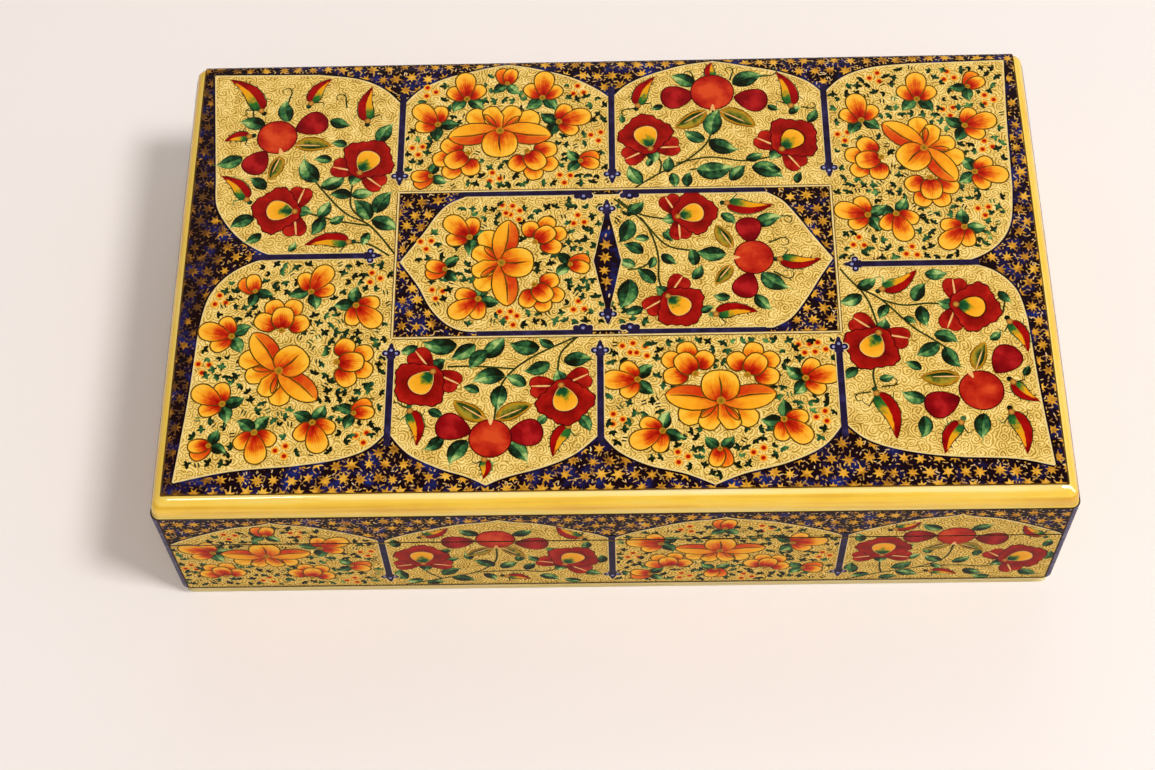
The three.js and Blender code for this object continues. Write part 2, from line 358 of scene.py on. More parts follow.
ground_coat("base_ground_coat", foot_high.z + rim_gap, wall_high.z, True, "base")


# The lid: four mitred rails with one board glued on top. The board's edge is rounded over and painted
# gold, with the rounding mitred softly at the corners. The gold is painted paler near the top of the
# rounding and at its foot, as painted highlights, and deeper between them.
for side in ("front", "right", "back", "left"):
    finish_node(f"lid_{side}_rail", umber)
ground_coat("lid_ground_coat", rail_low.z, rail_high.z, False, "lid")

board_low, board_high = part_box("lid_top_board")
edge_radius = 5 * mm
edge_segments = 14
lid_half_length = half_length + coat_depth
lid_half_width = half_width + coat_depth

gold = Paint("gold_edge_paint")
brush_marks = gold.mottle(5 * mm, 0.6, 4, (0.06, 0.06, 3.5))
patches = gold.mottle(30 * mm, 0.4, 3)
climb = gold.node("SeparateXYZ", {"Vector": gold.place}).outputs["Z"]
climb = gold.node("MapRange", {"Value": climb, "From Min": board_low.z, "From Max": board_high.z})
climb = climb.outputs[0]
# Painted highlights: by height on the edge, the gold goes pale at the top of the rounding and at its foot,
# and deep between.
gold_highlight_bands = gold.ramp(climb, [(0.0, "#C8C8C8"), (0.25, "#6C6C6C"), (0.6, "#2A2A2A"), (0.86, "#8E8E8E"),
                          (1.0, "#D8D8D8")])
gold_tone = gold.sum(gold.sum(brush_marks, patches), gold_highlight_bands)
gold_tone = gold.ramp(gold.sum(gold_tone, 0.25), [(0.0, "#DCA02C"), (0.4, "#FACB44"), (0.7, "#F8D66C"),
                                                  (1.0, "#F8DC98")])
wear = gold.sum(gold.mottle(7 * mm, 1.0, 5, (0.3, 0.3, 1)), climb, "SUBTRACT")
worn = gold.ramp(wear, [(0.42, "#000000"), (0.46, "#FFFFFF")])
gold = gold.lacquer(gold.blend(worn, gold_tone, "#7A4E14"), 1.0)

board = round_edged_board(board_low, board_high, lid_half_length, lid_half_width, (0.3 * mm, 2),
                          (edge_radius, edge_segments))
board = piece("lid_board", board, [gold])
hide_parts("lid_top_board")
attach(board, "lid")


def top_height(x, y):
    """How high the lid's surface stands over a place on the table, on the flat or on the rounding."""
    beyond_x = abs(x) - lid_half_length + corner_radius
    beyond_y = abs(y) - lid_half_width + corner_radius
    inset = min(corner_radius - beyond_x, corner_radius - beyond_y)
    if min(beyond_x, beyond_y) + inset > 0:
        total = beyond_x + beyond_y
        squares = beyond_x ** 2 + beyond_y ** 2 - corner_radius ** 2
        inset = (math.sqrt(max(total ** 2 - 2 * squares, 0)) - total) / 2
    short = min(max(edge_radius - inset, 0), edge_radius)
    return board_high.z - edge_radius + math.sqrt(edge_radius ** 2 - short ** 2)


# The painting: a dark blue ground strewn with gold stars goes on first, and the cream panels, their
# outlines and the flowers over it. Each is laid out flat, in millimetres, and wrapped on the box.
paint_step = 0.006
touches_apart = 16
first_coat = 0.02
full_part = 700
curve_steps = 6
crease_insets = [edge_radius / mm * (1 - math.cos(math.pi / 2 * step / edge_segments))
                 for step in range(edge_segments // 2, edge_segments + 1)]
crease_insets += [5.5, 6.2, 7.5]


def steady(_):
    """A line of even width."""
    return 1.0


class Painting:
    """A flat painting, x to the right and y up, in which each coat lies a hair above the last. What is
    taken up already is kept as (middle, reach), and sprigs keep clear of it."""

    def __init__(self):
        self.touches = 0
        self.parts = []
        self.paints = []
        self.outline = []
        self.taken = []

    def part(self):
        """The mesh to add to. A full one is left for a new one, because a small one is quicker."""
        if not self.parts or len(self.parts[-1].verts) > full_part:
            self.parts.append(bmesh.new())
            self.parts[-1].loops.layers.uv.new("stroke")
        return self.parts[-1]

    def colour(self, faces, paint, spots):
        """Gives faces their paint, and each corner its share along and across the stroke."""
        if paint not in self.paints:
            self.paints.append(paint)
        stroke_map = self.parts[-1].loops.layers.uv["stroke"]
        for face in faces:
            face.material_index = self.paints.index(paint)
            for loop in face.loops:
                loop[stroke_map].uv = spots[loop.vert]

    def height(self, coat):
        """How high the next touch of that coat lies, a shade off the last so that no two coincide."""
        self.touches += 1
        return (coat + self.touches % touches_apart / touches_apart) * paint_step

    def whole(self):
        """All its parts in one new mesh."""
        mesh = bmesh.new()
        sheet = bpy.data.meshes.new("sheet")
        for part in self.parts:
            part.to_mesh(sheet)
            mesh.from_mesh(sheet)
        bpy.data.meshes.remove(sheet)
        return mesh

    def stroke(self, paint, coat, path, width, form, along, across, even=False, hand=1):
        """One brush stroke down the path, of so many faces along and across. Its form gives its breadth
        at each share of its length, and a hand of -1 turns its paint over from left to right."""
        grid = bmesh.ops.create_grid(self.part(), x_segments=along, y_segments=across, size=1)
        spots = {}
        height = self.height(coat)
        for vertex in grid["verts"]:
            share = (vertex.co.x + 1) / 2
            if not even:
                share = (1 - math.cos(math.pi * share)) / 2
            side = vertex.co.y
            place, heading = on_line(path, share)
            reach = side * width / 2 * form(share)
            vertex.co = (place.x - heading.y * reach, place.y + heading.x * reach, height)
            spots[vertex] = (share, (side * hand + 1) / 2)
        self.colour({face for vertex in grid["verts"] for face in vertex.link_faces}, paint, spots)

    def dab(self, paint, coat, middle, radius, squash=1.0, turn=0.0, rim=steady, *, sides):
        """A round touch of the brush, flattened and turned; rim gives its reach at each angle."""
        ring = bmesh.ops.create_circle(self.part(), cap_ends=True, cap_tris=True, segments=sides, radius=1)
        spots = {}
        height = self.height(coat)
        turn = math.radians(turn)
        for vertex in ring["verts"]:
            angle = math.atan2(vertex.co.y, vertex.co.x)
            out = vertex.co.to_2d().length
            reach = radius * out * rim(angle)
            x = math.cos(angle) * reach
            y = math.sin(angle) * reach * squash
            vertex.co = (middle.x + x * math.cos(turn) - y * math.sin(turn),
                         middle.y + x * math.sin(turn) + y * math.cos(turn), height)
            spots[vertex] = (out, 0.5 + angle / math.tau)
        self.colour({face for vertex in ring["verts"] for face in vertex.link_faces}, paint, spots)

    def field(self, paint, coat, outline):
        """A flat patch of colour inside an outline. Its paint finds there where it lies, in metres."""
        part = self.part()
        height = self.height(coat)
        verts = [part.verts.new((p.x, p.y, height)) for p in outline]
        face = part.faces.new(verts)
        face.normal_update()
        if face.normal.z < 0:
            face.normal_flip()
        self.colour([face], paint, {vertex: (vertex.co.x * mm, vertex.co.y * mm) for vertex in verts})


def on_line(points, share):
    """The place and the heading at that share of a smooth line through the points."""
    spans = len(points) - 1
    index = min(int(share * spans), spans - 1)
    s = share * spans - index
    a, b, c, d = (points[min(max(index + i, 0), spans)] for i in (-1, 0, 1, 2))
    place = (2 * b + (c - a) * s + (2 * a - 5 * b + 4 * c - d) * s ** 2
             + (3 * b - a - 3 * c + d) * s ** 3) / 2
    heading = (c - a) + (2 * a - 5 * b + 4 * c - d) * 2 * s + (3 * b - a - 3 * c + d) * 3 * s ** 2
    return place, heading.normalized()


def smooth_line(points):
    """Points along a smooth line through a few, its last point left out."""
    if len(points) == 2:
        return points[:1]
    count = curve_steps * (len(points) - 1)
    return [on_line(points, i / count)[0] for i in range(count)]


def at(*places):
    """Places given as x, y, x, y and so on."""
    return [Vector((x, y, 0)) for x, y in zip(places[::2], places[1::2])]


def away(place, angle, distance):
    """The place that far away at that angle in degrees."""
    return place + Vector((math.cos(math.radians(angle)), math.sin(math.radians(angle)), 0)) * distance


def on_top(spot):
    """Where a point of the lid's painting lies on the lid, in metres."""
    x = spot.x * mm
    y = spot.y * mm
    return Vector((x, y, top_height(x, y) + (first_coat + spot.z) * mm))


def on_wall(turn):
    """The same for a wall: 0 is the front, and each quarter turn goes on to the right."""
    ahead = Vector((math.cos(turn), math.sin(turn), 0))
    out = Vector((math.sin(turn), -math.cos(turn), 0))
    reach = abs(out.x) * lid_half_length + abs(out.y) * lid_half_width

    def place(spot):
        return (ahead * spot.x + out * (reach / mm + first_coat + spot.z) + Vector((0, 0, spot.y))) * mm

    return place


def lay(painting, name, body, place, window=None):
    """Wraps a painting, or what of it lies in the window (left, bottom, right, top), on the box as one
    piece. It is creased where the lid is rounded over, so that every coat bends alike."""
    mesh = painting.whole()
    outs = [Vector(way) for way in ((-1, 0, 0), (0, -1, 0), (1, 0, 0), (0, 1, 0))]
    reaches = [max(vertex.co.dot(out) for vertex in mesh.verts) for out in outs]
    halves = (lid_half_length, lid_half_width) * 2
    limits = (-window[0], -window[1], window[2], window[3]) if window else (None,) * 4
    for out, reach, half, limit in zip(outs, reaches, halves, limits):
        cuts = [(limit, True)] if window else []
        if place == on_top:
            cuts += [(half / mm - inset, False) for inset in crease_insets]
        for distance, clear in cuts:
            if distance < reach:
                geom = mesh.verts[:] + mesh.edges[:] + mesh.faces[:]
                bmesh.ops.bisect_plane(mesh, geom=geom, plane_co=out * distance, plane_no=out,
                                       clear_outer=clear)
    bmesh.ops.remove_doubles(mesh, verts=mesh.verts, dist=paint_step / 10)
    mesh.faces.sort(key=lambda face: face.calc_center_median().z)
    left = min(vertex.co.x for vertex in mesh.verts)
    bottom = min(vertex.co.y for vertex in mesh.verts)
    extent = max(max(vertex.co.x - left, vertex.co.y - bottom) for vertex in mesh.verts)
    flat_map = mesh.loops.layers.uv.new("OFBake")
    for face in mesh.faces:
        for loop in face.loops:
            loop[flat_map].uv = ((loop.vert.co.x - left) / extent, (loop.vert.co.y - bottom) / extent)
    for vertex in mesh.verts:
        vertex.co = place(vertex.co)
    made = piece(name, mesh, painting.paints)
    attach(made, body)


# The starred ground: near-black with patches of blue, under everything. Gold stars of six to eight points
# stand on it in loose rows, with short pale flicks of the brush round them. On the lid they are darkened
# towards its left edge, as painted shade on the side away from the lamps.
blue_coat = 1
flick_coat = 2
star_coat = 3
star_pitch = 4.7
star_stray = 0.55
star_radius = 2.15
star_waist = 0.42
star_hidden = 2.2
flick_length = 1.5
flick_width = 0.42
# Where the painted shade on the lid's stars begins and where it is full, in x.
shade_from_x = -107 * mm
shade_to_x = -119 * mm
lid_face = 55.5 * mm

night_blue = mottled("night_blue", 4.5 * mm, 1.1,
                     [(0.0, "#180805"), (0.42, "#190B14"), (0.62, "#1F183E"), (0.95, "#1D2C70")],
                     detail=3, level=0.42)


def gilding(name, stops):
    """A gold paint, from dark to bright, darkened towards the lid's left edge as painted shade."""
    made = Paint(name)
    spot = made.node("SeparateXYZ", {"Vector": made.place})
    # Painted shade: on the lid, stars and flicks darken towards its left edge.
    left_shade = made.node("MapRange", {"Value": spot.outputs["X"], "From Min": shade_from_x, "From Max": shade_to_x})
    on_lid = made.sum(spot.outputs["Z"], lid_face, "GREATER_THAN")
    left_shade = made.sum(made.sum(left_shade.outputs[0], on_lid, "MULTIPLY"), 0.55, "MULTIPLY")
    tone = made.sum(made.sum(made.mottle(2.4 * mm, 0.9, 2), 0.5), left_shade, "SUBTRACT")
    return made.lacquer(made.ramp(tone, stops))


star_gold = gilding("star_gold", [(0.0, "#5E3C1A"), (0.22, "#A26A1E"), (0.55, "#DA9C2E"),
                                  (1.0, "#F4C04C")])
pale_flick = gilding("pale_flick", [(0.0, "#5A3C26"), (0.25, "#8A6030"), (0.55, "#CC9E5C"),
                                    (1.0, "#F4DAA8")])

chance = random.Random(11)


def star(painting, coat, middle):
    """A gold star, its points drawn out a little unevenly."""
    points = chance.choice((6, 7, 7, 8))
    ring = bmesh.ops.create_circle(painting.part(), cap_ends=True, cap_tris=True, segments=2 * points,
                                   radius=1)
    turn = chance.uniform(0, math.tau)
    radius = star_radius * chance.uniform(0.8, 1.05)
    height = painting.height(coat)
    spots = {}
    for number, vertex in enumerate(ring["verts"]):
        out = vertex.co.to_2d().length
        angle = math.atan2(vertex.co.y, vertex.co.x)
        reach = out * radius * (chance.uniform(0.8, 1.1) if number % 2 else star_waist)
        vertex.co = away(middle, math.degrees(angle + turn), reach)
        vertex.co.z = height
        spots[vertex] = (out, 0.5)
    painting.colour({face for vertex in ring["verts"] for face in vertex.link_faces}, star_gold, spots)


def depth_inside(outline, place):
    """How deep a place lies inside an outline in millimetres, or less than 0 outside it."""
    inside = False
    for a, b in zip(outline, outline[1:] + outline[:1]):
        if (a.y > place.y) != (b.y > place.y):
            if place.x < a.x + (b.x - a.x) * (place.y - a.y) / (b.y - a.y):
                inside = not inside
    if not inside:
        return -1
    nearest = 1e9
    for a, b in zip(outline, outline[1:] + outline[:1]):
        edge = b - a
        share = min(max((place - a).dot(edge) / max(edge.dot(edge), 1e-9), 0), 1)
        nearest = min(nearest, (place - a - edge * share).length)
    return nearest


def strew(left, bottom, right, top, pitch, loose):
    """Places in loose rows over a rectangle, each moved a little by chance."""
    row_share = 0.9
    rows = int((top - bottom) / (pitch * row_share)) + 1
    columns = int((right - left) / pitch) + 1
    for row in range(rows + 1):
        for column in range(columns + 1):
            x = left + (column + 0.5 * (row % 2)) * pitch + chance.uniform(-loose, loose)
            y = bottom + row * pitch * row_share + chance.uniform(-loose, loose)
            yield Vector((x, y, 0))


def starred_ground(left, bottom, right, top, panels):
    """A painting of a blue rectangle, with stars and flicks wherever no panel will cover them."""
    painting = Painting()
    painting.field(night_blue, blue_coat, at(left, bottom, right, bottom, right, top, left, top))
    for middle in strew(left, bottom, right, top, star_pitch, star_stray):
        if any(depth_inside(covering.outline, middle) > star_hidden for covering in panels):
            continue
        star(painting, star_coat, middle)
        for turn in range(0, 360, 60):
            angle = turn + chance.uniform(-30, 30)
            start = away(middle, angle, chance.uniform(2.2, 2.9))
            end = away(start, chance.uniform(0, 360), flick_length * chance.uniform(0.4, 1.0))
            painting.stroke(pale_flick, flick_coat, [start, end], flick_width, swollen, along=3, across=1)
    return painting


def swollen(share):
    """A short stroke pressed down in its middle."""
    return 0.25 + 0.75 * math.sin(math.pi * share)


# The panels' cream grounds are covered in ochre curls, drawn close together like worm tracks. A pale
# gold line runs round each panel with a dark one outside it. The walls' grounds are a shade deeper.
curl_pitch = 2.9 * mm
curl_turns = 3.5
curl_stray = 1.8 * mm
panel_coat = 4
outline_width = 1.7
outline_light = 0.5


def curled_ground(name, creams, ochres):
    """A ground covered in spirals, wound either way about points set by chance."""
    ground = Paint(name)
    flat = ground.node("UVMap", uv_map="stroke").outputs["UV"]
    drift = ground.node("TexNoise", {"Vector": ground.place, "Scale": 420.0, "Detail": 1.0})
    drift = ground.node("VectorMath", {0: drift.outputs["Color"], 1: (0.5, 0.5, 0.5)},
                        operation="SUBTRACT")
    drift = ground.node("VectorMath", {0: drift.outputs[0], "Scale": curl_stray}, operation="SCALE")
    spot = ground.node("VectorMath", {0: flat, 1: drift.outputs[0]}).outputs[0]
    cells = ground.node("TexVoronoi", {"Vector": spot, "Scale": 1 / curl_pitch}, voronoi_dimensions="2D")
    out = ground.node("VectorMath", {0: spot, 1: cells.outputs["Position"]}, operation="SUBTRACT")
    out = ground.node("SeparateXYZ", {"Vector": out.outputs[0]})
    way = ground.node("SeparateXYZ", {"Vector": cells.outputs["Color"]}).outputs["X"]
    way = ground.sum(ground.sum(way, 0.5, "GREATER_THAN"), 0.5, "SUBTRACT")
    angle = ground.sum(ground.sum(out.outputs["Y"], out.outputs["X"], "ARCTAN2"), math.pi, "DIVIDE")
    spiral = ground.sum(cells.outputs["Distance"], curl_turns, "MULTIPLY")
    spiral = ground.sum(ground.sum(spiral, ground.sum(angle, way, "MULTIPLY")), 2.0)
    blotch = ground.sum(ground.mottle(3.2 * mm, 0.9, 3), 0.5)
    in_curl = ground.ramp(ground.sum(spiral, 1.0, "FRACT"), [
        (0.0, "#FFFFFF"), (0.15, "#FFFFFF"), (0.34, "#000000"), (0.74, "#000000"), (0.93, "#FFFFFF")])
    return ground.lacquer(ground.blend(in_curl, ground.ramp(blotch, creams), ground.ramp(blotch, ochres)))


cream_ground = curled_ground("cream_ground", [(0.0, "#E2B65A"), (0.5, "#F4D176"), (1.0, "#FFE69C")],
                             [(0.0, "#7A5A0C"), (0.45, "#AE8426"), (0.8, "#D2A440"), (1.0, "#E0B85C")])
wall_ground = curled_ground("wall_ground", [(0.0, "#DEB04A"), (0.5, "#F6CE66"), (1.0, "#FFE080")],
                            [(0.0, "#6A4C0A"), (0.5, "#94701C"), (1.0, "#BC8E2C")])

pale_line = mottled("pale_line", 2 * mm, 0.5, [(0.0, "#D9B45E"), (1.0, "#F8E2A6")])
line_brown = mottled("line_brown", 2.5 * mm, 0.8, [(0.0, "#3A2206"), (1.0, "#744E10")])


def edge_line(painting, paint, coat, run, width):
    """A line of even width along one run of a panel's outline."""
    along = 1 if len(run) == 2 else curve_steps * (len(run) - 1)
    painting.stroke(paint, coat, run, width, steady, along=along, across=1, even=True)


def panel(runs, lined, ground=cream_ground):
    """A new painting of one panel: its field, and its outline along the runs that are lined. Each run
    goes on from where the one before it ends, and the first from where the last one ends."""
    ends = [run[-1] for run in runs]
    runs = [[start] + run for start, run in zip(ends[-1:] + ends[:-1], runs)]
    painting = Painting()
    painting.outline = [point for run in runs for point in smooth_line(run)]
    for index in lined:
        edge_line(painting, night_blue, panel_coat, runs[index], outline_width)
        edge_line(painting, pale_line, panel_coat + 2, runs[index], outline_light)
    painting.field(ground, panel_coat + 1, painting.outline)
    return painting


# Leaves and stems: each leaf is one pressed stroke that runs out in a curled tip, near black where the
# brush was loaded and green where it ran dry, one half darker than the other. Stems are fine lines.
stem_coat = 8
stem_width = 0.6
leaf_coat = 9
leaf_stops = [(0.05, "#14180A"), (0.3, "#1A321C"), (0.52, "#2E5C34"), (0.75, "#5E8E4A"), (1.0, "#B4C878")]
leaf_green = Paint("leaf_green")
along, across = leaf_green.stroke()
leaf_tone = leaf_green.sum(leaf_green.sum(along, 0.7, "MULTIPLY"), leaf_green.mottle(4.5 * mm, 0.85, 2))
light_half = leaf_green.sum(leaf_green.sum(across, 0.5, "GREATER_THAN"), 0.32, "MULTIPLY")
leaf_tone = leaf_green.sum(leaf_green.sum(leaf_tone, light_half), leaf_green.mottle(1.1 * mm, 0.3))
aside = leaf_green.sum(leaf_green.sum(across, 0.5, "SUBTRACT"), 2.0, "MULTIPLY")
dark_rim = leaf_green.sum(leaf_green.sum(aside, 6.0, "POWER"), 0.5, "MULTIPLY")
leaf_tone = leaf_green.sum(leaf_green.sum(leaf_tone, 0.06), dark_rim, "SUBTRACT")
leaf_green = leaf_green.lacquer(leaf_green.ramp(leaf_tone, leaf_stops))
sap_dark = mottled("sap_dark", 5 * mm, 1.2, leaf_stops, level=0.24)
stem_olive = mottled("stem_olive", 3 * mm, 0.6, [(0.0, "#171A0A"), (1.0, "#464C1C")])


def blade_form(share):
    """Broadest near its foot and pointed at both ends."""
    return math.sin(math.pi * share ** 0.85) ** 0.9


def leaf_form(share):
    """A blade over the first three quarters, and a thin tail."""
    return max(math.sin(math.pi * min(share / 0.78, 1) ** 0.85) ** 0.9, 0.13 * (1.1 - share))


def leaf(painting, x, y, angle, length=7.5, breadth=0.65, coat=leaf_coat):
    """A leaf about its middle, pointing at that angle."""
    foot = away(Vector((x, y, 0)), angle, -length / 2)
    bow = chance.choice((-1, 1)) * chance.uniform(0.04, 0.1) * length
    path = [foot]
    for reach, aside in ((0.45, bow), (0.9, bow * 0.5), (1.24, -bow * 1.4)):
        path.append(away(away(foot, angle, reach * length), angle + 90, aside))
    painting.stroke(leaf_green, coat, path, length * breadth, leaf_form, along=10, across=2, even=True)
    painting.taken.append((Vector((x, y, 0)), length / 2))


def stem(painting, *places):
    points = at(*places)
    painting.stroke(stem_olive, stem_coat, points, stem_width, steady, along=5 * (len(points) - 1),
                    across=1, even=True)


def tendril(painting, x, y, angle, length):
    """A fine hook by its foot, wound up at its end, with two thorns."""
    foot = Vector((x, y, 0))
    way = chance.choice((-1, 1))
    eye = away(away(foot, angle, length * 0.7), angle + 90 * way, length * 0.24)
    path = [foot, away(foot, angle, length * 0.4)]
    for sweep in (-90, -20, 50, 120, 190):
        path.append(away(eye, angle + way * sweep, length * (0.24 - sweep / 3000)))
    painting.stroke(stem_olive, stem_coat, path, 0.55, fading, along=16, across=1, even=True)
    for share in (0.15, 0.4):
        start, heading = on_line(path, share)
        end = start - Vector((-heading.y, heading.x, 0)) * way * 0.9 + heading * 0.5
        painting.stroke(stem_olive, stem_coat, [start, end], 0.45, fading, along=2, across=1)


def fading(share):
    """A stroke that lifts off to nothing."""
    return (1 - share) ** 0.6


# The roses: a crimson head of four broad scalloped lobes, with a yellow heart that is green where it
# meets the tan knob, two side petals parted by a pale fold, and a dark cup behind.
def drawn_out(name, pull, size, strength, stops, detail=2.0):
    """A lacquered paint that turns through the stops along its stroke, with blotches of that size."""
    made = Paint(name)
    along = made.sum(made.stroke()[0], pull, "MULTIPLY")
    tone = made.sum(along, made.mottle(size, strength, detail))
    return made.lacquer(made.ramp(tone, stops))


rim_dark = mottled("rim_dark", 1.5 * mm, 0.6, [(0.0, "#2E0506"), (1.0, "#5E0C08")])
crimson = drawn_out("crimson", 0.6, 3.4 * mm, 0.6,
                    [(0.0, "#5A0806"), (0.3, "#860E08"), (0.62, "#A6160E"), (0.9, "#C82A16")],
                    detail=3)
side_crimson = drawn_out("side_crimson", 0.7, 2.4 * mm, 0.5,
                         [(0.0, "#540806"), (0.4, "#94100A"), (0.8, "#C02616")])
heart_gold = Paint("heart_gold")
along, across = heart_gold.stroke()
aside = heart_gold.sum(heart_gold.sum(across, 0.5, "SUBTRACT"), 0.0, "ABSOLUTE")
heart_tone = heart_gold.sum(along, heart_gold.sum(aside, 0.5, "MULTIPLY"))
heart_tone = heart_gold.sum(heart_tone, heart_gold.mottle(1.5 * mm, 0.22))
heart_gold = heart_gold.lacquer(heart_gold.ramp(
    heart_tone, [(0.1, "#0A2E1A"), (0.42, "#1E5428"), (0.52, "#8A8A1C"), (0.61, "#F0A01C"),
                 (1.0, "#FCB22C")]))
fold_cream = mottled("fold_cream", 2 * mm, 0.6, [(0.0, "#DB8A3C"), (1.0, "#FBD088")])
tan_knob = Paint("tan_knob")
tan_knob = tan_knob.lacquer(tan_knob.ramp(tan_knob.stroke()[0], [(0.0, "#D89640"), (0.6, "#B87A2C"),
                                                                 (1.0, "#6E4414")]))


def petal_form(share):
    """Narrow at its foot and broad and round at its end."""
    return math.sin(math.pi * share ** 1.45) ** 0.62


def round_form(share):
    """As round at its foot as at its end."""
    return 2 * math.sqrt(max(share * (1 - share), 0))


def rose_rim(angle):
    """Four broad lobes, finely scalloped."""
    return 1 + 0.09 * math.cos(4 * angle + 0.5) + 0.03 * math.cos(15 * angle)


def rose(painting, x, y, facing, size=1.0):
    """A rose by its knob, facing the way that its heart lies."""
    knob = Vector((x, y, 0))
    head = away(knob, facing, 5.5 * size)
    leaf(painting, *away(knob, facing + 180, 2.4 * size).to_2d(), facing + 180, 4.8 * size, 0.86,
         leaf_coat + 1)
    for side in (-98, 98):
        start = away(knob, facing + side, 0.5 * size)
        for paint, coat, extra in ((rim_dark, 11, 0.45), (side_crimson, 12, 0)):
            for lobe in (-12, 12):
                path = [start, away(start, facing + side + lobe, 8.3 * size + extra / 2)]
                painting.stroke(paint, coat, path, 4.6 * size + extra, petal_form, along=8, across=4)
        path = [away(start, facing + side, 1.6 * size), away(start, facing + side * 1.04, 8.0 * size)]
        painting.stroke(fold_cream, 13, path, 0.6, swollen, along=5, across=1)
    painting.dab(rim_dark, 14, head, 7.9 * size, 0.88, facing + 90, rose_rim, sides=68)
    painting.dab(crimson, 15, head, 7.5 * size, 0.88, facing + 90, rose_rim, sides=68)
    for paint, coat, extra in ((rim_dark, 16, 0.45), (fold_cream, 16.9, 0.2), (heart_gold, 17.9, 0)):
        path = [away(knob, facing, 0.4 * size - extra), away(knob, facing, 8.2 * size + extra)]
        painting.stroke(paint, coat, path, 6.6 * size + 2 * extra, petal_form, along=14, across=4)
    painting.dab(tan_knob, 19, knob, 1.0 * size, sides=10)
    painting.taken.append((head, 9.5 * size))
    painting.taken.append((knob, 7.0 * size))


# The fruit: one round orange-red fruit between two dark red ones that point at it, and a pair of olive
# leaves with gold rims and ribs at its stalk.
orange_red = drawn_out("orange_red", 0.5, 5 * mm, 0.9,
                       [(0.0, "#D84A20"), (0.3, "#C22E16"), (0.6, "#A81A0E"), (0.9, "#7E0C08")],
                       detail=3)
dark_red = Paint("dark_red")
middle = dark_red.sum(dark_red.sum(dark_red.stroke()[0], 0.6, "SUBTRACT"), 0.0, "ABSOLUTE")
dark_tone = dark_red.sum(middle, dark_red.mottle(3.0 * mm, 0.4, 3))
dark_red = dark_red.lacquer(dark_red.ramp(
    dark_tone, [(0.0, "#B01C1C"), (0.22, "#8A0A0E"), (0.6, "#5E0408")]))
olive_fill = Paint("olive_fill")
olive_tone = olive_fill.sum(olive_fill.stroke()[1], olive_fill.mottle(2.2 * mm, 0.8))
olive_fill = olive_fill.lacquer(olive_fill.ramp(
    olive_tone, [(0.1, "#1C3214"), (0.5, "#46581A"), (0.9, "#A48C28")]))
old_gold = mottled("old_gold", 1.5 * mm, 0.6, [(0.0, "#7A4A0C"), (1.0, "#DB9C1E")])


def long_fruit(painting, x, y, angle, length=9.8):
    """A dark fruit about its middle, its stalk end away from that angle."""
    foot = away(Vector((x, y, 0)), angle, -length / 2)
    for paint, coat, extra in ((rim_dark, 11, 0.35), (dark_red, 12, 0)):
        path = [away(foot, angle, -extra), away(foot, angle, length + extra)]
        painting.stroke(paint, coat, path, length * 0.82 + 2 * extra, petal_form, along=12, across=4)
    painting.taken.append((Vector((x, y, 0)), length / 2))


def round_fruit(painting, x, y, radius, stalk):
    """The round fruit about its middle, with its stalk end at that angle."""
    middle = Vector((x, y, 0))
    painting.dab(rim_dark, 13, middle, radius + 0.35, sides=36)
    painting.dab(orange_red, 14, middle, radius, sides=36)
    path = [away(middle, stalk, radius + 0.5), away(middle, stalk, radius * 0.72)]
    painting.stroke(fold_cream, 15, path, 1.6, fading, along=4, across=2)
    painting.taken.append((middle, radius))


def olive_leaf(painting, foot_x, foot_y, tip_x, tip_y):
    """An olive leaf from its foot to its tip, in a gold rim and with a pale rib."""
    foot, tip = at(foot_x, foot_y, tip_x, tip_y)
    length = (tip - foot).length
    bow = Vector((foot.y - tip.y, tip.x - foot.x, 0)) * 0.05
    path = [foot, (foot + tip) / 2 + bow, tip]
    inner = [foot.lerp(tip, 0.1), (foot + tip) / 2 + bow, foot.lerp(tip, 0.92)]
    painting.stroke(line_brown, 9, path, length * 0.5, blade_form, along=8, across=2)
    painting.stroke(old_gold, 10, path, length * 0.44, blade_form, along=8, across=2)
    painting.stroke(olive_fill, 11, inner, length * 0.34, blade_form, along=8, across=2)
    painting.stroke(fold_cream, 12, [foot, foot.lerp(tip, 0.7)], 0.45, swollen, along=6, across=1)
    painting.taken.append(((foot + tip) / 2, length / 2))


# The buds: long and curved to a fine tip, half crimson and half yellow running into green, with thorns
# down their sides and two dark sepals that curl away at the knob.
bud_halves = Paint("bud_halves")
along, across = bud_halves.stroke()
bud_red = bud_halves.ramp(bud_halves.sum(along, bud_halves.mottle(2 * mm, 0.4)),
                          [(0.0, "#7A0605"), (0.5, "#A80E0A"), (0.9, "#6E0405")])
bud_yellow = bud_halves.ramp(bud_halves.sum(along, bud_halves.mottle(1.4 * mm, 0.2)),
                             [(0.05, "#0F3A20"), (0.26, "#357028"), (0.42, "#E0A018"), (0.72, "#F59A16"),
                              (0.84, "#9A0C08")])
which_half = bud_halves.sum(bud_halves.sum(across, bud_halves.sum(along, 0.25, "MULTIPLY")), 0.56,
                            "GREATER_THAN")
bud_halves = bud_halves.lacquer(bud_halves.blend(which_half, bud_yellow, bud_red))


def bud_form(share):
    """Full near the knob and drawn out to a fine tip."""
    return math.sin(math.pi * share ** 0.58) ** 1.05


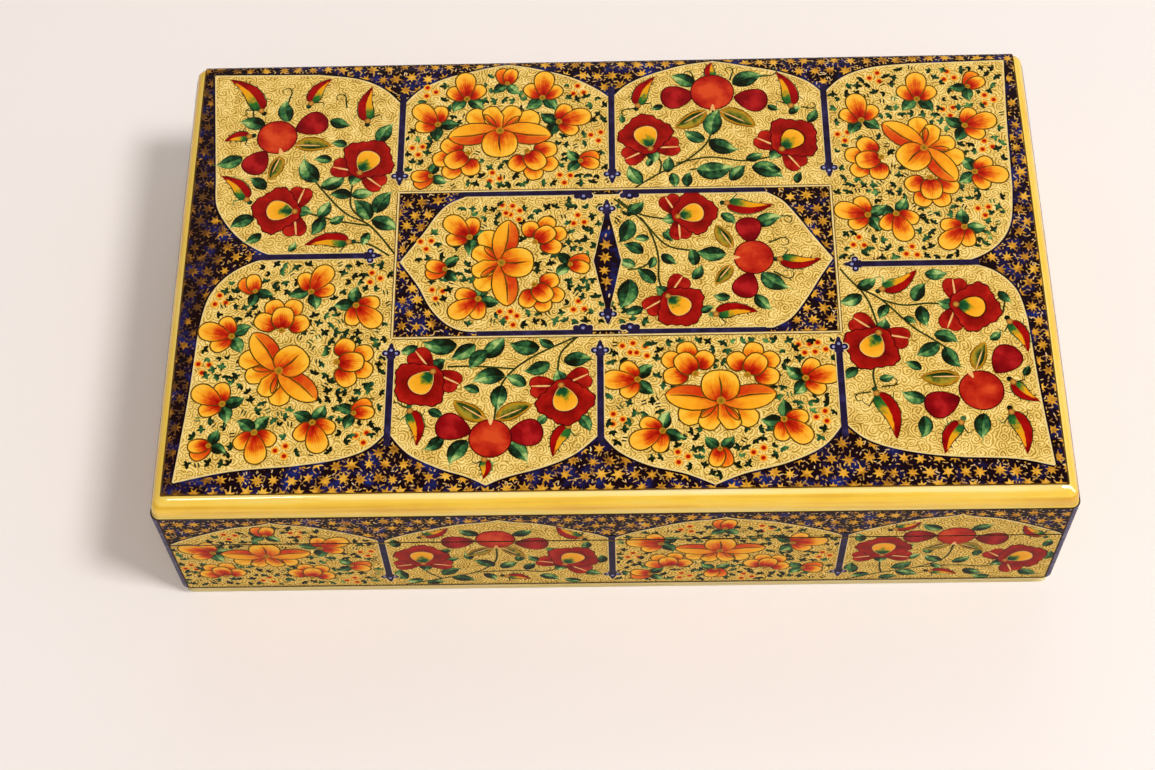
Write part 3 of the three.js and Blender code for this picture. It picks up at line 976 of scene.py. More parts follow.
def bud(painting, knob_x, knob_y, tip_x, tip_y, hand):
    """A bud from its knob to its tip; hand is 1 or -1, the side that its red half and its bow take."""
    knob, tip = at(knob_x, knob_y, tip_x, tip_y)
    length = (tip - knob).length
    side = Vector((knob.y - tip.y, tip.x - knob.x, 0)) / length * hand
    path = [knob, (knob + tip) / 2 + side * 0.1 * length, tip - side * 0.03 * length]
    width = 1.7 + 0.23 * length
    painting.stroke(sap_dark, 11, path, width + 0.7, bud_form, along=10, across=2)
    painting.stroke(bud_halves, 12, path, width, bud_form, along=10, across=4, hand=hand)
    for way in (-1, 1):
        bend = knob.lerp(tip, 0.2) + side * way * (width * 0.55 + 0.7)
        curl = [knob, bend, knob.lerp(tip, 0.02) + side * way * (width * 0.55 + 1.8)]
        painting.stroke(sap_dark, 10, curl, 0.55, fading, along=6, across=1)
        for share in (0.3, 0.5, 0.7):
            spot, heading = on_line(path, share)
            out = side * way
            start = spot + out * width * 0.45 * bud_form(share)
            painting.stroke(sap_dark, 10, [start, start + out * 1.0 + heading * 0.7], 0.5, fading, 2, 1)
    behind = (knob - tip) / length
    painting.stroke(sap_dark, 10, [knob, knob + behind * 2.2], 1.7, petal_form, 5, 1)
    painting.dab(tan_knob, 13, knob, 1.0, sides=8)
    painting.taken.append(((knob + tip) / 2, length / 2))


# The orange flowers: every petal is yellow-gold with red drawn out from its foot, inside a fine olive
# line. There are large lilies, flowers of five and of three petals, and round buds.
line_width = 0.4
leaves_spread = 46


def petal_paint(name, stops, spread):
    """A petal's paint, which turns from the first colour to the last along it and out to its sides."""
    made = Paint(name)
    along, across = made.stroke()
    aside = made.sum(made.sum(across, 0.5, "SUBTRACT"), 0.0, "ABSOLUTE")
    streaks = made.node("TexNoise", {"Vector": made.node("CombineXYZ", {
        "X": made.sum(along, 1.5, "MULTIPLY"), "Y": made.sum(across, 12.0, "MULTIPLY")}).outputs[0],
        "Scale": 1.0, "Detail": 2.0})
    tone = made.sum(along, made.sum(aside, spread, "MULTIPLY"))
    tone = made.sum(tone, made.sum(made.sum(streaks.outputs["Fac"], 0.5, "SUBTRACT"), 0.6, "MULTIPLY"))
    tone = made.sum(tone, made.mottle(2.6 * mm, 0.24))
    return made.lacquer(made.ramp(tone, stops))


petal_gold = petal_paint("petal_gold", [(0.18, "#AC1A08"), (0.4, "#D6480E"), (0.6, "#EA8016"),
                                        (0.78, "#F6A41E"), (1.0, "#FBBE3A")], 0.8)
petal_orange = petal_paint("petal_orange", [(0.24, "#980E06"), (0.46, "#C82E0C"), (0.6, "#E66E14"),
                                            (0.72, "#F6A020"), (0.92, "#FCBA3A")], 0.5)
petal_coral = petal_paint("petal_coral", [(0.1, "#B81606"), (0.45, "#D6400E"), (0.8, "#EE7418"),
                                          (1.0, "#FF9A1E")], 0.2)
petal_split = Paint("petal_split")
along, across = petal_split.stroke()
split_tone = petal_split.sum(along, petal_split.mottle(2.6 * mm, 0.3))
red_half = petal_split.ramp(split_tone, [(0.1, "#B81606"), (0.5, "#D23C10"), (1.0, "#F0801C")])
gold_half = petal_split.ramp(split_tone, [(0.05, "#CE3A0C"), (0.26, "#EC7A18"), (0.5, "#F8A41E"),
                                          (1.0, "#FCBC34")])
on_red_side = petal_split.ramp(across, [(0.44, "#000000"), (0.66, "#FFFFFF")])
petal_split = petal_split.lacquer(petal_split.blend(on_red_side, gold_half, red_half))
flower_eye = drawn_out("flower_eye", 1.0, 0.8 * mm, 0.5,
                       [(0.0, "#6E5A10"), (0.6, "#A87C1C"), (1.0, "#CF7A1C")])


def wavy_form(share):
    """A petal with a wavy edge."""
    return petal_form(share) * (1 + 0.09 * math.sin(share * 16))


def pointed_form(share):
    """Broad in the middle and pointed at its end."""
    return math.sin(math.pi * share ** 1.1) ** 0.75


def petal(painting, paint, coat, foot, angle, length, width, form=petal_form, hand=1):
    """A petal inside its line, from its foot out at that angle."""
    for laid, step, extra in ((line_brown, 0, line_width), (paint, 1, 0)):
        start = away(foot, angle, -extra)
        path = [start, away(start, angle, length + 2 * extra)]
        painting.stroke(laid, coat + step, path, width + 2 * extra, form, along=12, across=4, hand=hand)


def vein(painting, coat, foot, angle, start, end, width, bend):
    """A fine line down a petal, from start to end along it, bent to one side."""
    path = [away(foot, angle, start), away(away(foot, angle, (start + end) / 2), angle + 90, bend),
            away(foot, angle, end)]
    painting.stroke(line_brown, coat, path, width, swollen, along=6, across=1)


def flower_leaves(painting, foot, facing, length):
    """Two leaves behind a flower's foot."""
    for side in (-leaves_spread, leaves_spread):
        middle = away(foot, facing + 180 + side, length / 2 + 0.4)
        leaf(painting, middle.x, middle.y, facing + 180 + side, length, 0.74, leaf_coat + 1)


def lily(painting, x, y, turn, size=1.0):
    """The large lily about its eye, with its round petal pointing up before it is turned."""
    eye = Vector((x, y, 0))
    for coat, angle, length, width in ((9, 206, 12.8, 7.0), (11, -36, 11.8, 6.6), (13, 241, 9.9, 6.0),
                                       (15, -68, 9.4, 5.6)):
        petal(painting, petal_gold, coat, eye, angle + turn, length * size, width * size, wavy_form)
    for angle, bend in ((222, -0.5), (-52, 0.5)):
        away_from_eye = away(eye, angle + turn, 2.2 * size)
        petal(painting, petal_coral, 18, away_from_eye, angle + turn, 5.4 * size, 1.5 * size, pointed_form)
        vein(painting, 20, eye, angle + turn, 1.0 * size, 8.0 * size, 0.3, bend)
    for coat, angle, side in ((22, 172, -1), (24, 8, 1)):
        petal(painting, petal_split, coat, eye, angle + turn, 15.4 * size, 7.6 * size, pointed_form, side)
        vein(painting, coat + 3, eye, angle + turn, 2.0 * size, 14.4 * size, 0.5, side * 0.6)
    petal(painting, petal_gold, 28, eye, 90 + turn, 9.6 * size, 10.4 * size, round_form)
    vein(painting, 30, eye, 92 + turn, 1.0 * size, 7.6 * size, 0.6, -0.4)
    painting.dab(flower_eye, 31, eye, 1.3 * size, sides=10)
    painting.taken.append((eye, 10.0 * size))
    for angle in (6, 174):
        painting.taken.append((away(eye, angle + turn, 10 * size), 5.2 * size))


def five_petals(painting, x, y, turn, size=1.0, hand=1):
    """A flower with one round petal in front of four, its foot below before it is turned; hand is 1 or
    -1, the way round that its petals grow smaller."""
    middle = Vector((x, y, 0))
    foot = away(middle, turn - 90, 4.3 * size)
    for coat, angle, start, length in ((11, -20, 4.2, 6.4), (13, 19, 4.2, 6.4), (15, -66, 2.2, 5.8),
                                       (17, 60, 2.2, 6.6)):
        angle = 90 + angle * hand + turn
        petal(painting, petal_orange, coat, away(foot, angle, start * size), angle, length * size,
              5.4 * size, round_form)
    petal(painting, petal_orange, 21, away(foot, 90 + turn, 0.7 * size), 90 + turn, 6.9 * size, 6.0 * size,
          round_form)
    painting.dab(flower_eye, 23, foot, 1.0 * size, sides=8)
    painting.taken.append((middle, 7.0 * size))


def three_petals(painting, x, y, facing, size=1.0):
    """A flower seen from the side about its middle, with two leaves at its foot."""
    foot = away(Vector((x, y, 0)), facing, -3.9 * size)
    flower_leaves(painting, foot, facing, 5.6 * size)
    for coat, side in ((12, 54), (14, -54)):
        petal(painting, petal_orange, coat, away(foot, facing + side, 0.8 * size), facing + side,
              5.9 * size, 4.5 * size, round_form)
    petal(painting, petal_orange, 16, away(foot, facing, 0.4 * size), facing, 9.4 * size, 5.9 * size)
    painting.dab(flower_eye, 18, foot, 1.0 * size, sides=8)
    painting.taken.append((Vector((x, y, 0)), 6.0 * size))


def round_bud(painting, x, y, facing, size=1.0):
    """A round bud about its middle: a coral half tucked behind an orange one."""
    foot = away(Vector((x, y, 0)), facing, -2.8 * size)
    flower_leaves(painting, foot, facing, 4.8 * size)
    petal(painting, petal_coral, 12, foot, facing + 22, 5.7 * size, 4.4 * size, round_form)
    petal(painting, petal_orange, 14, foot, facing - 18, 5.6 * size, 4.0 * size, round_form)
    painting.dab(flower_eye, 16, foot, 0.8 * size, sides=8)
    painting.taken.append((Vector((x, y, 0)), 3.8 * size))


# Sprigs and dots fill what the orange flowers leave free: small dark leaves fanned from a point, pairs
# of dashes, and red dots in threes, each in an orange halo.
dot_coat = 6
sprig_coat = 7
sprig_pitch = 3.1
sprig_stray = 0.6
sprig_margin = 1.8
dot_red = Paint("dot_red")
dot_red = dot_red.lacquer(dot_red.ramp(dot_red.stroke()[0], [(0.0, "#9C1006"), (0.46, "#B41C08"),
                                                             (0.6, "#F0901C"), (1.0, "#F6B848")]))


def sprig(painting, place):
    """A pair of dashes, or two to four small leaves fanned from the place."""
    turn = chance.uniform(0, 360)
    kind = chance.random()
    if kind < 0.14:
        for aside in (-0.5, 0.5):
            start = away(place, turn + 90, aside)
            dash = [start, away(start, turn + 12, 1.7)]
            painting.stroke(sap_dark, sprig_coat, dash, 0.55, swollen, along=3, across=1)
        return
    spread = chance.uniform(50, 75)
    leaves = 2 if kind < 0.26 else 3 if kind < 0.75 else 4
    for angle in (-spread, 0, spread, 180)[:leaves]:
        length = chance.uniform(1.4, 2.1) * (0.7 if angle == 180 else 1)
        start = away(place, turn + angle, -0.1)
        path = [start, away(start, turn + angle, length)]
        painting.stroke(sap_dark, sprig_coat, path, length * 0.6, blade_form, along=5, across=2)


def three_dots(painting, x, y):
    turn = chance.uniform(0, 120)
    for angle in (0, 120, 240):
        painting.dab(dot_red, dot_coat, away(Vector((x, y, 0)), turn + angle, 1.8), 1.25, sides=10)
    painting.taken.append((Vector((x, y, 0)), 2.6))


def fill_with_sprigs(painting):
    """Sprigs wherever the panel is still free."""
    xs = [p.x for p in painting.outline]
    ys = [p.y for p in painting.outline]
    for place in strew(min(xs), min(ys), max(xs), max(ys), sprig_pitch, sprig_stray):
        clear = all((place - middle).length > reach + 0.1 for middle, reach in painting.taken)
        if clear and depth_inside(painting.outline, place) > sprig_margin:
            sprig(painting, place)


def bouquet(painting, lilies, fives, threes, buds, dots):
    """An orange panel: flowers about their middles, each with its turn, then dots and sprigs."""
    for flower, places in ((lily, lilies), (five_petals, fives), (three_petals, threes),
                           (round_bud, buds)):
        for place in places:
            flower(painting, *place)
    for place in dots:
        three_dots(painting, *place)
    fill_with_sprigs(painting)


def spray(painting, roses, round_one, long_ones, olives, buds, stems, leaves, curls=()):
    """A red panel: roses, fruit and buds on their stems, with leaves as (x, y, angle, length)."""
    for places in stems:
        stem(painting, *places)
    for place in curls:
        tendril(painting, *place)
    for place in leaves:
        leaf(painting, *place)
    for place in olives:
        olive_leaf(painting, *place)
    for place in long_ones:
        long_fruit(painting, *place)
    round_fruit(painting, *round_one)
    for place in buds:
        bud(painting, *place)
    for place in roses:
        rose(painting, *place)


# The bars between the panels: each runs out of the blue ground between two pale lines and ends in a
# trefoil with a point, touched with light blue. Their places are measured from the lid's middle.
bar_blue = mottled("bar_blue", 2.6 * mm, 0.6, [(0.0, "#150B18"), (0.55, "#281E3C"), (1.0, "#423A6C")],
                   level=0.45)
light_blue = mottled("light_blue", 1 * mm, 0.6, [(0.0, "#5B5C9A"), (1.0, "#B4B4DC")])
fine_coat = 30
bar_coat = 32
bar_width = 1.9
left_bar = -62
right_bar = 65
back_bar = 1
front_bar = -3
front_right_bar = 64
left_side_bar = 4.5
right_side_bar = -1
far_line = 26.5
near_line = -23.5


def trefoil(painting, place, angle):
    """Two lobes, a third ahead of them and a point, where a bar ends that runs at that angle."""
    lobes = [(away(away(place, angle, 0.6), angle + side, 1.65), 1.0) for side in (-90, 90)]
    lobes.append((away(place, angle, 1.7), 1.1))
    point = [away(place, angle, 1.4), away(place, angle, 4.0)]
    neck = [away(place, angle + 180, 1.2), away(place, angle, 1.2)]
    for paint, coat, extra in ((pale_line, bar_coat, 0.25), (bar_blue, bar_coat + 1, 0)):
        for middle, radius in lobes:
            painting.dab(paint, coat, middle, radius + extra, sides=12)
        painting.stroke(paint, coat, point, 1.5 + 2 * extra, blade_form, along=5, across=1)
        painting.stroke(paint, coat, neck, 2.6 + 2 * extra, steady, along=2, across=1)
    for middle, radius in lobes:
        painting.dab(light_blue, bar_coat + 2, place.lerp(middle, 0.9), 0.45, sides=8)


def divider(painting, start_x, start_y, end_x, end_y, pale_after=6.0):
    """A bar between two panels, from the blue ground to its trefoil."""
    start, end = at(start_x, start_y, end_x, end_y)
    ahead = (end - start).normalized()
    pale = [start + ahead * pale_after, end]
    painting.stroke(pale_line, bar_coat, pale, bar_width + 0.6, steady, along=1, across=1, even=True)
    painting.stroke(bar_blue, bar_coat + 1, [start, end], bar_width, steady, along=1, across=1,
                    even=True)
    trefoil(painting, end, math.degrees(math.atan2(ahead.y, ahead.x)))


def fine_line(painting, start, end):
    """A pale line with a brown one under it."""
    painting.stroke(line_brown, fine_coat, [start, end], 1.0, steady, along=1, across=1, even=True)
    painting.stroke(pale_line, fine_coat + 1, [start, end], 0.5, steady, along=1, across=1, even=True)


# The lid's back left panel: two roses, three fruit and six pointed buds on a stem that grows from its
# lower right corner. Stems and leaves are painted first and the roses last.
back_left = panel(
    [at(left_bar, 58), at(-68, 64.5, -76, 68.6, -88, 70.5), at(-120, 71), at(-116.5, 32), at(-115.2, 22,
     -109, 12.5, -101, 6.6, -94, left_side_bar), at(left_bar, left_side_bar)], lined=(1, 2, 3, 4))
spray(back_left,
      roses=[(-74, 34, 63), (-92.5, 20.5, 175)],
      round_one=(-99.5, 47.5, 5.8, -75),
      long_ones=[(-89.5, 52, 24), (-105, 38.5, 238, 9)],
      olives=[(-94, 44.5, -83, 44), (-98, 40.5, -101, 32)],
      buds=[(-105, 57.5, -115, 70, -1), (-90, 60, -84.5, 69.5, 1), (-108, 48, -115.5, 46.5, -1),
            (-72.5, 53, -72, 66, 1), (-107, 25, -115, 34, -1), (-76, 9.5, -89, 9, -1)],
      stems=[(-62, 4.5, -70, 15, -78, 20, -87, 31, -91, 38), (-70, 15, -80, 17, -89, 20),
             (-72, 17, -76, 22, -76, 30), (-64, 4.5, -70, 8.5, -76, 9.5)],
      leaves=[(-107, 52.5, 165), (-97, 57, 100), (-81, 52.5, -20, 6), (-113, 39, 200),
              (-104, 30.5, 140, 6), (-88.5, 35, 120, 9), (-80.5, 44.5, 170, 4.5), (-85, 39, 175, 5),
              (-82, 31, 30, 7.5), (-79, 26, 175, 6), (-73, 26, 5, 6), (-107.5, 17, 205, 7),
              (-104, 11.5, 215, 5), (-92.5, 8, 60, 3.5), (-67, 48, 60, 7.5), (-72.5, 20.5, 125, 8),
              (-66.5, 23, 60, 8), (-66, 15.5, -25, 8), (-84, 21, 60, 6), (-85.5, 15.5, 245, 6.5),
              (-80, 17.5, 30, 4.5), (-71, 10.5, -110, 4.5)],
      curls=[(-97, 60, 80, 6), (-79, 58, 100, 6), (-107, 54, 100, 5)])
lay(back_left, "lid_panel_back_left", "lid", on_top)

# The lid's back middle left panel: an orange bouquet round one lily, under an arch. The flowers are
# painted first, and dots and sprigs fill what they leave free.
back_middle_left = panel(
    [at(back_bar, 59.5), at(-4.5, 64, -12, 68.2, -22, 71.4, -30.5, 73.4), at(-39, 71.3, -49, 68.4,
     -57, 64, left_bar, 58), at(left_bar, far_line), at(back_bar, far_line)], lined=(1, 2))
bouquet(back_middle_left,
        lilies=[(-32.5, 48.5, 180)],
        fives=[(-45.5, 38, 123, 1, -1), (-21.8, 37.3, -145)],
        threes=[(-43, 64.5, 95), (-19.5, 64.5, 85), (-54, 54, 135), (-11, 52.5, 15)],
        buds=[(-30.5, 69, 90), (-55.5, 31.5, 200), (-5.5, 37, 0)],
        dots=[(-54, 63.5), (-9, 63), (-57, 42), (-34, 31.5), (-13, 31), (-3.5, 46)])
lay(back_middle_left, "lid_panel_back_middle_left", "lid", on_top)

# The lid's back middle right panel: two roses and three fruit under an arch, on stems that grow from
# its near left corner.
back_middle_right = panel(
    [at(right_bar, 60), at(60, 65, 52, 68.6, 42, 71, 32, 73.4), at(22, 71.4, 12, 68, 5.5, 64.4,
     back_bar, 59.5), at(back_bar, far_line), at(right_bar, far_line)], lined=(1, 2))
spray(back_middle_right,
      roses=[(12.5, 41, 105), (51.5, 40, 48)],
      round_one=(31.5, 61.5, 6.3, -90),
      long_ones=[(21, 60, 188), (43, 58.5, -12)],
      olives=[(29.5, 54.5, 20, 48.5), (33.5, 54.5, 44, 48.5)],
      buds=[(9, 57, 14, 68, 1), (55, 56, 51.5, 69, -1), (31.5, 67, 31.5, 73, 1)],
      stems=[(7, 26.5, 15, 32, 23, 36.5, 30, 44, 31.5, 55), (20, 35.5, 30, 37.5, 40, 36, 49, 37.5),
             (15, 32, 15.5, 36, 13, 40), (24, 33, 31, 34, 38, 33)],
      leaves=[(23, 66, 150), (42, 66, 20, 9), (15, 56, 200, 3.5), (49.5, 55.5, -30, 3.5), (56, 54, 40, 4),
              (61, 52, 60, 5), (32, 50, 75, 9), (26, 45.5, 150, 6.5), (34, 42, -25, 8.5),
              (43, 37.5, 20, 5), (31, 33.5, 5, 10), (38, 31.5, 50, 6.5), (46.5, 32, -22, 9),
              (8, 31.5, 120, 7), (12.5, 36, 60, 3.5), (17.5, 35, 80, 5.5), (19, 29.5, -80, 5),
              (23.5, 29.5, 80, 5), (56, 29.5, 70, 4), (4, 52, 100, 3), (49, 33, 160, 4)],
      curls=[(26.5, 65.5, 110, 5), (37, 66, 75, 5), (45.5, 67, 10, 6.5), (8, 56, 190, 4.5),
             (58, 55.5, -10, 4.5)])
lay(back_middle_right, "lid_panel_back_middle_right", "lid", on_top)

# The lid's back right panel: an orange bouquet in a tall panel with two rounded corners, its lily in
# the middle.
back_right = panel(
    [at(right_bar, right_side_bar), at(97, right_side_bar), at(105, 0.8, 112, 5.5, 116.2, 13, 117.8, 25),
     at(118.6, 48, 120, 71.5), at(92, 70.8), at(80, 69.6, 71, 66, right_bar, 60)], lined=(2, 3, 4, 5))
bouquet(back_right,
        lilies=[(93.5, 39.5, 133, 0.95)],
        fives=[(76.5, 35.5, 103, 1, -1), (94.5, 24.5, 180)],
        threes=[(75, 54, 100), (93, 61.5, 88), (110, 48.5, 15), (111.5, 30, -10), (71.5, 17, 165),
                (84.5, 12.5, -75), (100, 8.5, 225)],
        buds=[(110.5, 64, 45)],
        dots=[(81, 66), (103, 66), (114, 57), (102, 53), (70, 44.5), (112, 40), (109, 17), (72, 6.5),
              (87, 3)])
lay(back_right, "lid_panel_back_right", "lid", on_top)

# The lid's front left panel: an orange bouquet in a tall panel like the back right one, turned round
# end for end.
front_left = panel(
    [at(-94, left_side_bar), at(-102, 3.2, -110, -1.4, -115.2, -9, -117.2, -20), at(-118.2, -44,
     -120.2, -68.3), at(-105, -65, -88, -63.6), at(-76, -61.8, -67.5, -58.6, left_bar, -53),
     at(left_bar, left_side_bar)], lined=(1, 2, 3, 4))
bouquet(front_left,
        lilies=[(-93.5, -33.5, -49, 0.95)],
        fives=[(-93.5, -16, 0), (-73, -31, -90, 1, -1)],
        threes=[(-84, -4, 60), (-111.5, -21, 165), (-70, -15, -45), (-112, -42, 150), (-98.5, -57, 277),
                (-82, -54, 285)],
        buds=[(-103.5, -4.5, 120), (-114, -58, 200), (-69, -46.5, 20)],
        dots=[(-112, -10), (-68, -3), (-115, -32), (-69, -55), (-91, -59)])
lay(front_left, "lid_panel_front_left", "lid", on_top)

# The lid's front middle left panel: two roses and three fruit that hang from a stem at its far edge,
# over an arch that points to the front.
front_middle_left = panel(
    [at(left_bar, -53), at(-56, -60.2, -47, -65, -40, -67.4, -34.5, -70.2), at(-29, -67.8, -18, -64.6,
     -10, -60.8, front_bar, -54.5), at(front_bar, near_line), at(left_bar, near_line)], lined=(1, 2))
spray(front_middle_left,
      roses=[(-50, -34.5, 229), (-14, -39.5, -77)],
      round_one=(-33.5, -56, 5.7, 90),
      long_ones=[(-43.7, -52.5, 161), (-24, -54.5, 9)],
      olives=[(-35, -50, -44, -44), (-32, -50, -22, -45.5)],
      buds=[(-56, -47, -53.5, -58, 1), (-12, -52.5, -16.5, -62, -1), (-35, -62.5, -35, -68.5, 1)],
      stems=[(-9, -23.5, -20, -29, -27, -34, -31, -40, -32.5, -50), (-27, -34, -38, -33, -46, -33),
             (-9, -23.5, -14, -29, -15, -36)],
      leaves=[(-48, -25.5, 175, 9), (-41.5, -28, 215, 7.5), (-33, -27, 50, 8), (-37, -30.8, 230, 7),
              (-24, -26.5, 170, 8), (-18, -25.5, 150, 4.5), (-9.5, -31.5, 5, 7.5), (-20.5, -33.5, 200, 7),
              (-34, -37, 190, 8.5), (-26.5, -38, 150, 6), (-39, -40.5, 160, 4.5), (-31, -43, -100, 7.5),
              (-49, -48, -30, 4.5), (-49, -57, 220, 6), (-42, -60, 235, 8), (-26, -60, -50, 7.5),
              (-19, -50.5, 45, 4), (-7.5, -51.5, -60, 5.5), (-57, -27, 200, 5)],
      curls=[(-57, -46, 150, 4.5), (-10, -51, 20, 4.5)])
lay(front_middle_left, "lid_panel_front_middle_left", "lid", on_top)

# The lid's front middle right panel: an orange bouquet round one lily, over an arch that points to the
# front.
front_middle_right = panel(
    [at(front_bar, -54.5), at(2, -60.4, 10, -64.7, 20, -67.4, 28, -70.9), at(36, -67.6, 48, -64.4,
     58, -59.4, front_right_bar, -52), at(front_right_bar, near_line), at(front_bar, near_line)],
    lined=(1, 2))
bouquet(front_middle_right,
        lilies=[(30.4, -45.2, 0)],
        fives=[(21, -33, 36), (40.5, -33.5, -35, 1, -1)],
        threes=[(3.5, -38, 180), (58, -37.6, 10), (10.5, -56, 205), (50.3, -54, -45)],
        buds=[(29.6, -63, 270)],
        dots=[(5, -27.5), (9, -29), (54.3, -28.3), (58.6, -28.6), (58.2, -50.5), (1.3, -50.5), (19, -62.5),
              (40.5, -61.5)])
lay(front_middle_right, "lid_panel_front_middle_right", "lid", on_top)

# The lid's front right panel: two roses, three fruit and six buds on a stem that grows from its far
# left corner, in a tall panel like the back left one turned round.
front_right = panel(
    [at(front_right_bar, -52), at(69, -57, 76, -60.2, 86, -62.4, 96, -63.5), at(110, -64.2, 120, -66.5),
     at(118.4, -44, 117.4, -20), at(115.6, -11, 111, -5, 105, -2, 97, right_side_bar),
     at(right_bar, right_side_bar), at(front_right_bar, near_line)], lined=(1, 2, 3, 4))
spray(front_right,
      roses=[(75.5, -24, 245), (98, -15, -10)],
      round_one=(102.5, -43, 6, 115),
      long_ones=[(110, -33.5, 52), (91.5, -47, 200)],
      olives=[(97, -38.5, 86, -38.5), (101.5, -36.5, 105, -27.5)],
      buds=[(77.5, -9.5, 88, -3.5, -1), (112.5, -21, 117, -31, 1), (111.5, -40.5, 118, -47, -1),
            (110, -50, 113.5, -63, 1), (96, -53, 90.5, -62.5, -1), (73.5, -43.5, 78.5, -58, 1)],
      stems=[(66, -2.5, 70.5, -8.5, 77, -13, 85, -22, 90, -26, 95, -30),
             (77, -13, 83, -15, 90, -14.5, 96, -15), (71, -9, 73.5, -14, 75.5, -22),
             (75, -32, 73, -37, 73.5, -42)],
      leaves=[(73, -7.5, 30, 6), (68.5, -12.5, 200, 6.5), (77.5, -17, -120, 5), (88, -11, 60, 6.5),
              (88.5, -18.5, -80, 6.5), (93, -4.5, 0, 6), (94, -26, -20, 6.5), (84.5, -20, -30, 3.5),
              (89, -29.5, 210, 7), (95.5, -32, -60, 7), (84.5, -35, 150, 4.5), (84, -44.5, 160, 6.5),
              (85.5, -54, -100, 6.5), (102, -54, -100, 7.5), (67, -37, 220, 5), (76.5, -38.5, 10, 4),
              (112, -12.5, -50, 4.5), (108, -25.5, 40, 4), (115.5, -37, 60, 3.5)],
      curls=[(72, -43, 190, 5), (75, -41.5, 10, 5), (111, -18, 80, 5)])
lay(front_right, "lid_panel_front_right", "lid", on_top)

# The lid's centre: one cream field with a point at either end, shared by an orange bouquet and a red
# spray. Thin bars line its long edges, and a spindle of starred blue stands between the halves.
centre = panel(
    [at(-54, 12, -50.5, 18, -47, 22, -42, 24.5), at(46, 24.5), at(50.5, 21.5, 54.5, 16, 58.5, 9.5,
     64, 1.2), at(60, -5, 55.5, -12.5, 51, -18.5, 46, -21.5), at(-38, -21.5), at(-43, -20.8, -47.5, -18,
     -51.5, -13, -55, -6, -60.5, 2.2)], lined=(0, 1, 2, 3, 4, 5))


def spindle_form(share):
    """Widest in its middle, and blunt at both ends."""
    return max(0.2, 1 - abs(2 * share - 1) ** 0.9)


spindle = Painting()
shaft = at(-0.7, -16, -0.7, 19)
for paint, coat, extra in ((pale_line, bar_coat, 0.8), (night_blue, bar_coat + 1, 0)):
    spindle.stroke(paint, coat, shaft, 8.0 + extra, spindle_form, along=24, across=2, even=True)
for x, y, reach in ((-1, 2, 4.8), (-1, -9, 3.2), (-1, 12, 3.2), (32, 2, 30.5)):
    centre.taken.append((Vector((x, y, 0)), reach))
bouquet(centre,
        lilies=[(-31.3, 1.4, -90, 0.95)],
        fives=[(-18.7, 11, -49, 0.9, -1), (-19.3, -9.2, -140, 0.9, -1)],
        threes=[(-43.5, 13.2, 135), (-41, -13, 215)],
        buds=[(-50.4, -0.4, 180), (-8.6, 0.5, 0)],
        dots=[(-30, 20.5), (-27.2, 18), (-9, 15.8), (-53.4, 8.4), (-49.7, -8.6), (-30, -14.2),
              (-28, -17.8), (-9, -13.8)])
spray(centre,
      roses=[(20, 16.5, 15, 0.92), (16.5, -10.8, -45, 0.92)],
      round_one=(41.5, 2, 5.5, 180),
      long_ones=[(40.5, 11.3, 95, 8.6), (39, -7.3, 250, 8.6)],
      olives=[(35.5, 5.5, 31, 13.5), (35, -0.5, 30, -7)],
      buds=[(34.5, 21, 48, 19.8, -1), (49, 1.2, 61, 0.8, -1), (30, -17, 42, -16, 1)],
      stems=[(1.5, 23, 9, 16, 12, 11, 14, 3, 14, -5, 15.5, -10), (9, 16.5, 15, 8, 19, 5.5, 25, 4.5),
             (5, -1.5, 9, -1, 13, 2), (2.5, 23, 9, 17.5, 18, 15.5)],
      leaves=[(46, 14.5, 20), (34.5, 15.5, -40, 5), (47, -6, -35, 8.5), (43.5, -13, -50, 6),
              (32, -11, 175, 4.5), (25, -3, 60, 5), (4.5, 12, 250, 8), (7.5, 19.8, 40, 6),
              (18, 11.5, 20, 4), (9.5, 9, 180, 4), (16.8, 9.5, -50, 4), (7, 5.5, 150, 6),
              (12, 0.8, 250, 4), (17, 2, -40, 5), (24, 2.2, 100, 5.5), (5, 0.5, 160, 5),
              (10.5, -4, 135, 6.5), (4.4, -9.5, 255, 9.5), (7, -15.8, 200, 5), (27.5, -15.5, 30, 4),
              (29.5, 3.7, 175, 8)],
      curls=[(46, 7, 20, 6), (47, -3, -30, 6), (48.5, 16, 0, 5)])
lay(centre, "lid_centre", "lid", on_top)

for middle in at(-1, 7, -1.3, 2.6, -1.6, -1.8, -1, -5.6):
    star(spindle, bar_coat + 2, middle)
for start in at(-1.2, 9.6, -0.3, 12.2, -1.2, -8.6, -0.4, -11):
    flick = [start, away(start, 80, 1.3)]
    spindle.stroke(pale_flick, bar_coat + 2, flick, 0.6, swollen, along=3, across=1)
trefoil(spindle, shaft[1], 90)
trefoil(spindle, shaft[0], -90)
for left, right, height in ((-44, -5, 25.5), (4, 45, 25.5), (-38, -5, -22.4), (5, 44, -22.4)):
    bar = at(left, height, right, height)
    spindle.stroke(bar_blue, bar_coat + 1, bar, 1.6, steady, along=1, across=1, even=True)
for x, y in ((-7.5, 24.2), (6, 24.2), (-7.8, -21), (5.5, -21)):
    for paint, coat, extra in ((pale_line, bar_coat, 0.35), (bar_blue, bar_coat + 1, 0)):
        for aside, radius in ((-1.9, 1.0), (0, 1.5), (1.9, 1.0)):
            spindle.dab(paint, coat, Vector((x + aside, y, 0)), radius + extra, sides=12)
    spindle.dab(light_blue, bar_coat + 2, Vector((x, y, 0)), 0.5, sides=8)
corners = at(left_bar, far_line, right_bar, far_line, right_bar, near_line, left_bar, near_line)
for start, end in zip(corners, corners[1:] + corners[:1]):
    fine_line(spindle, start, end)
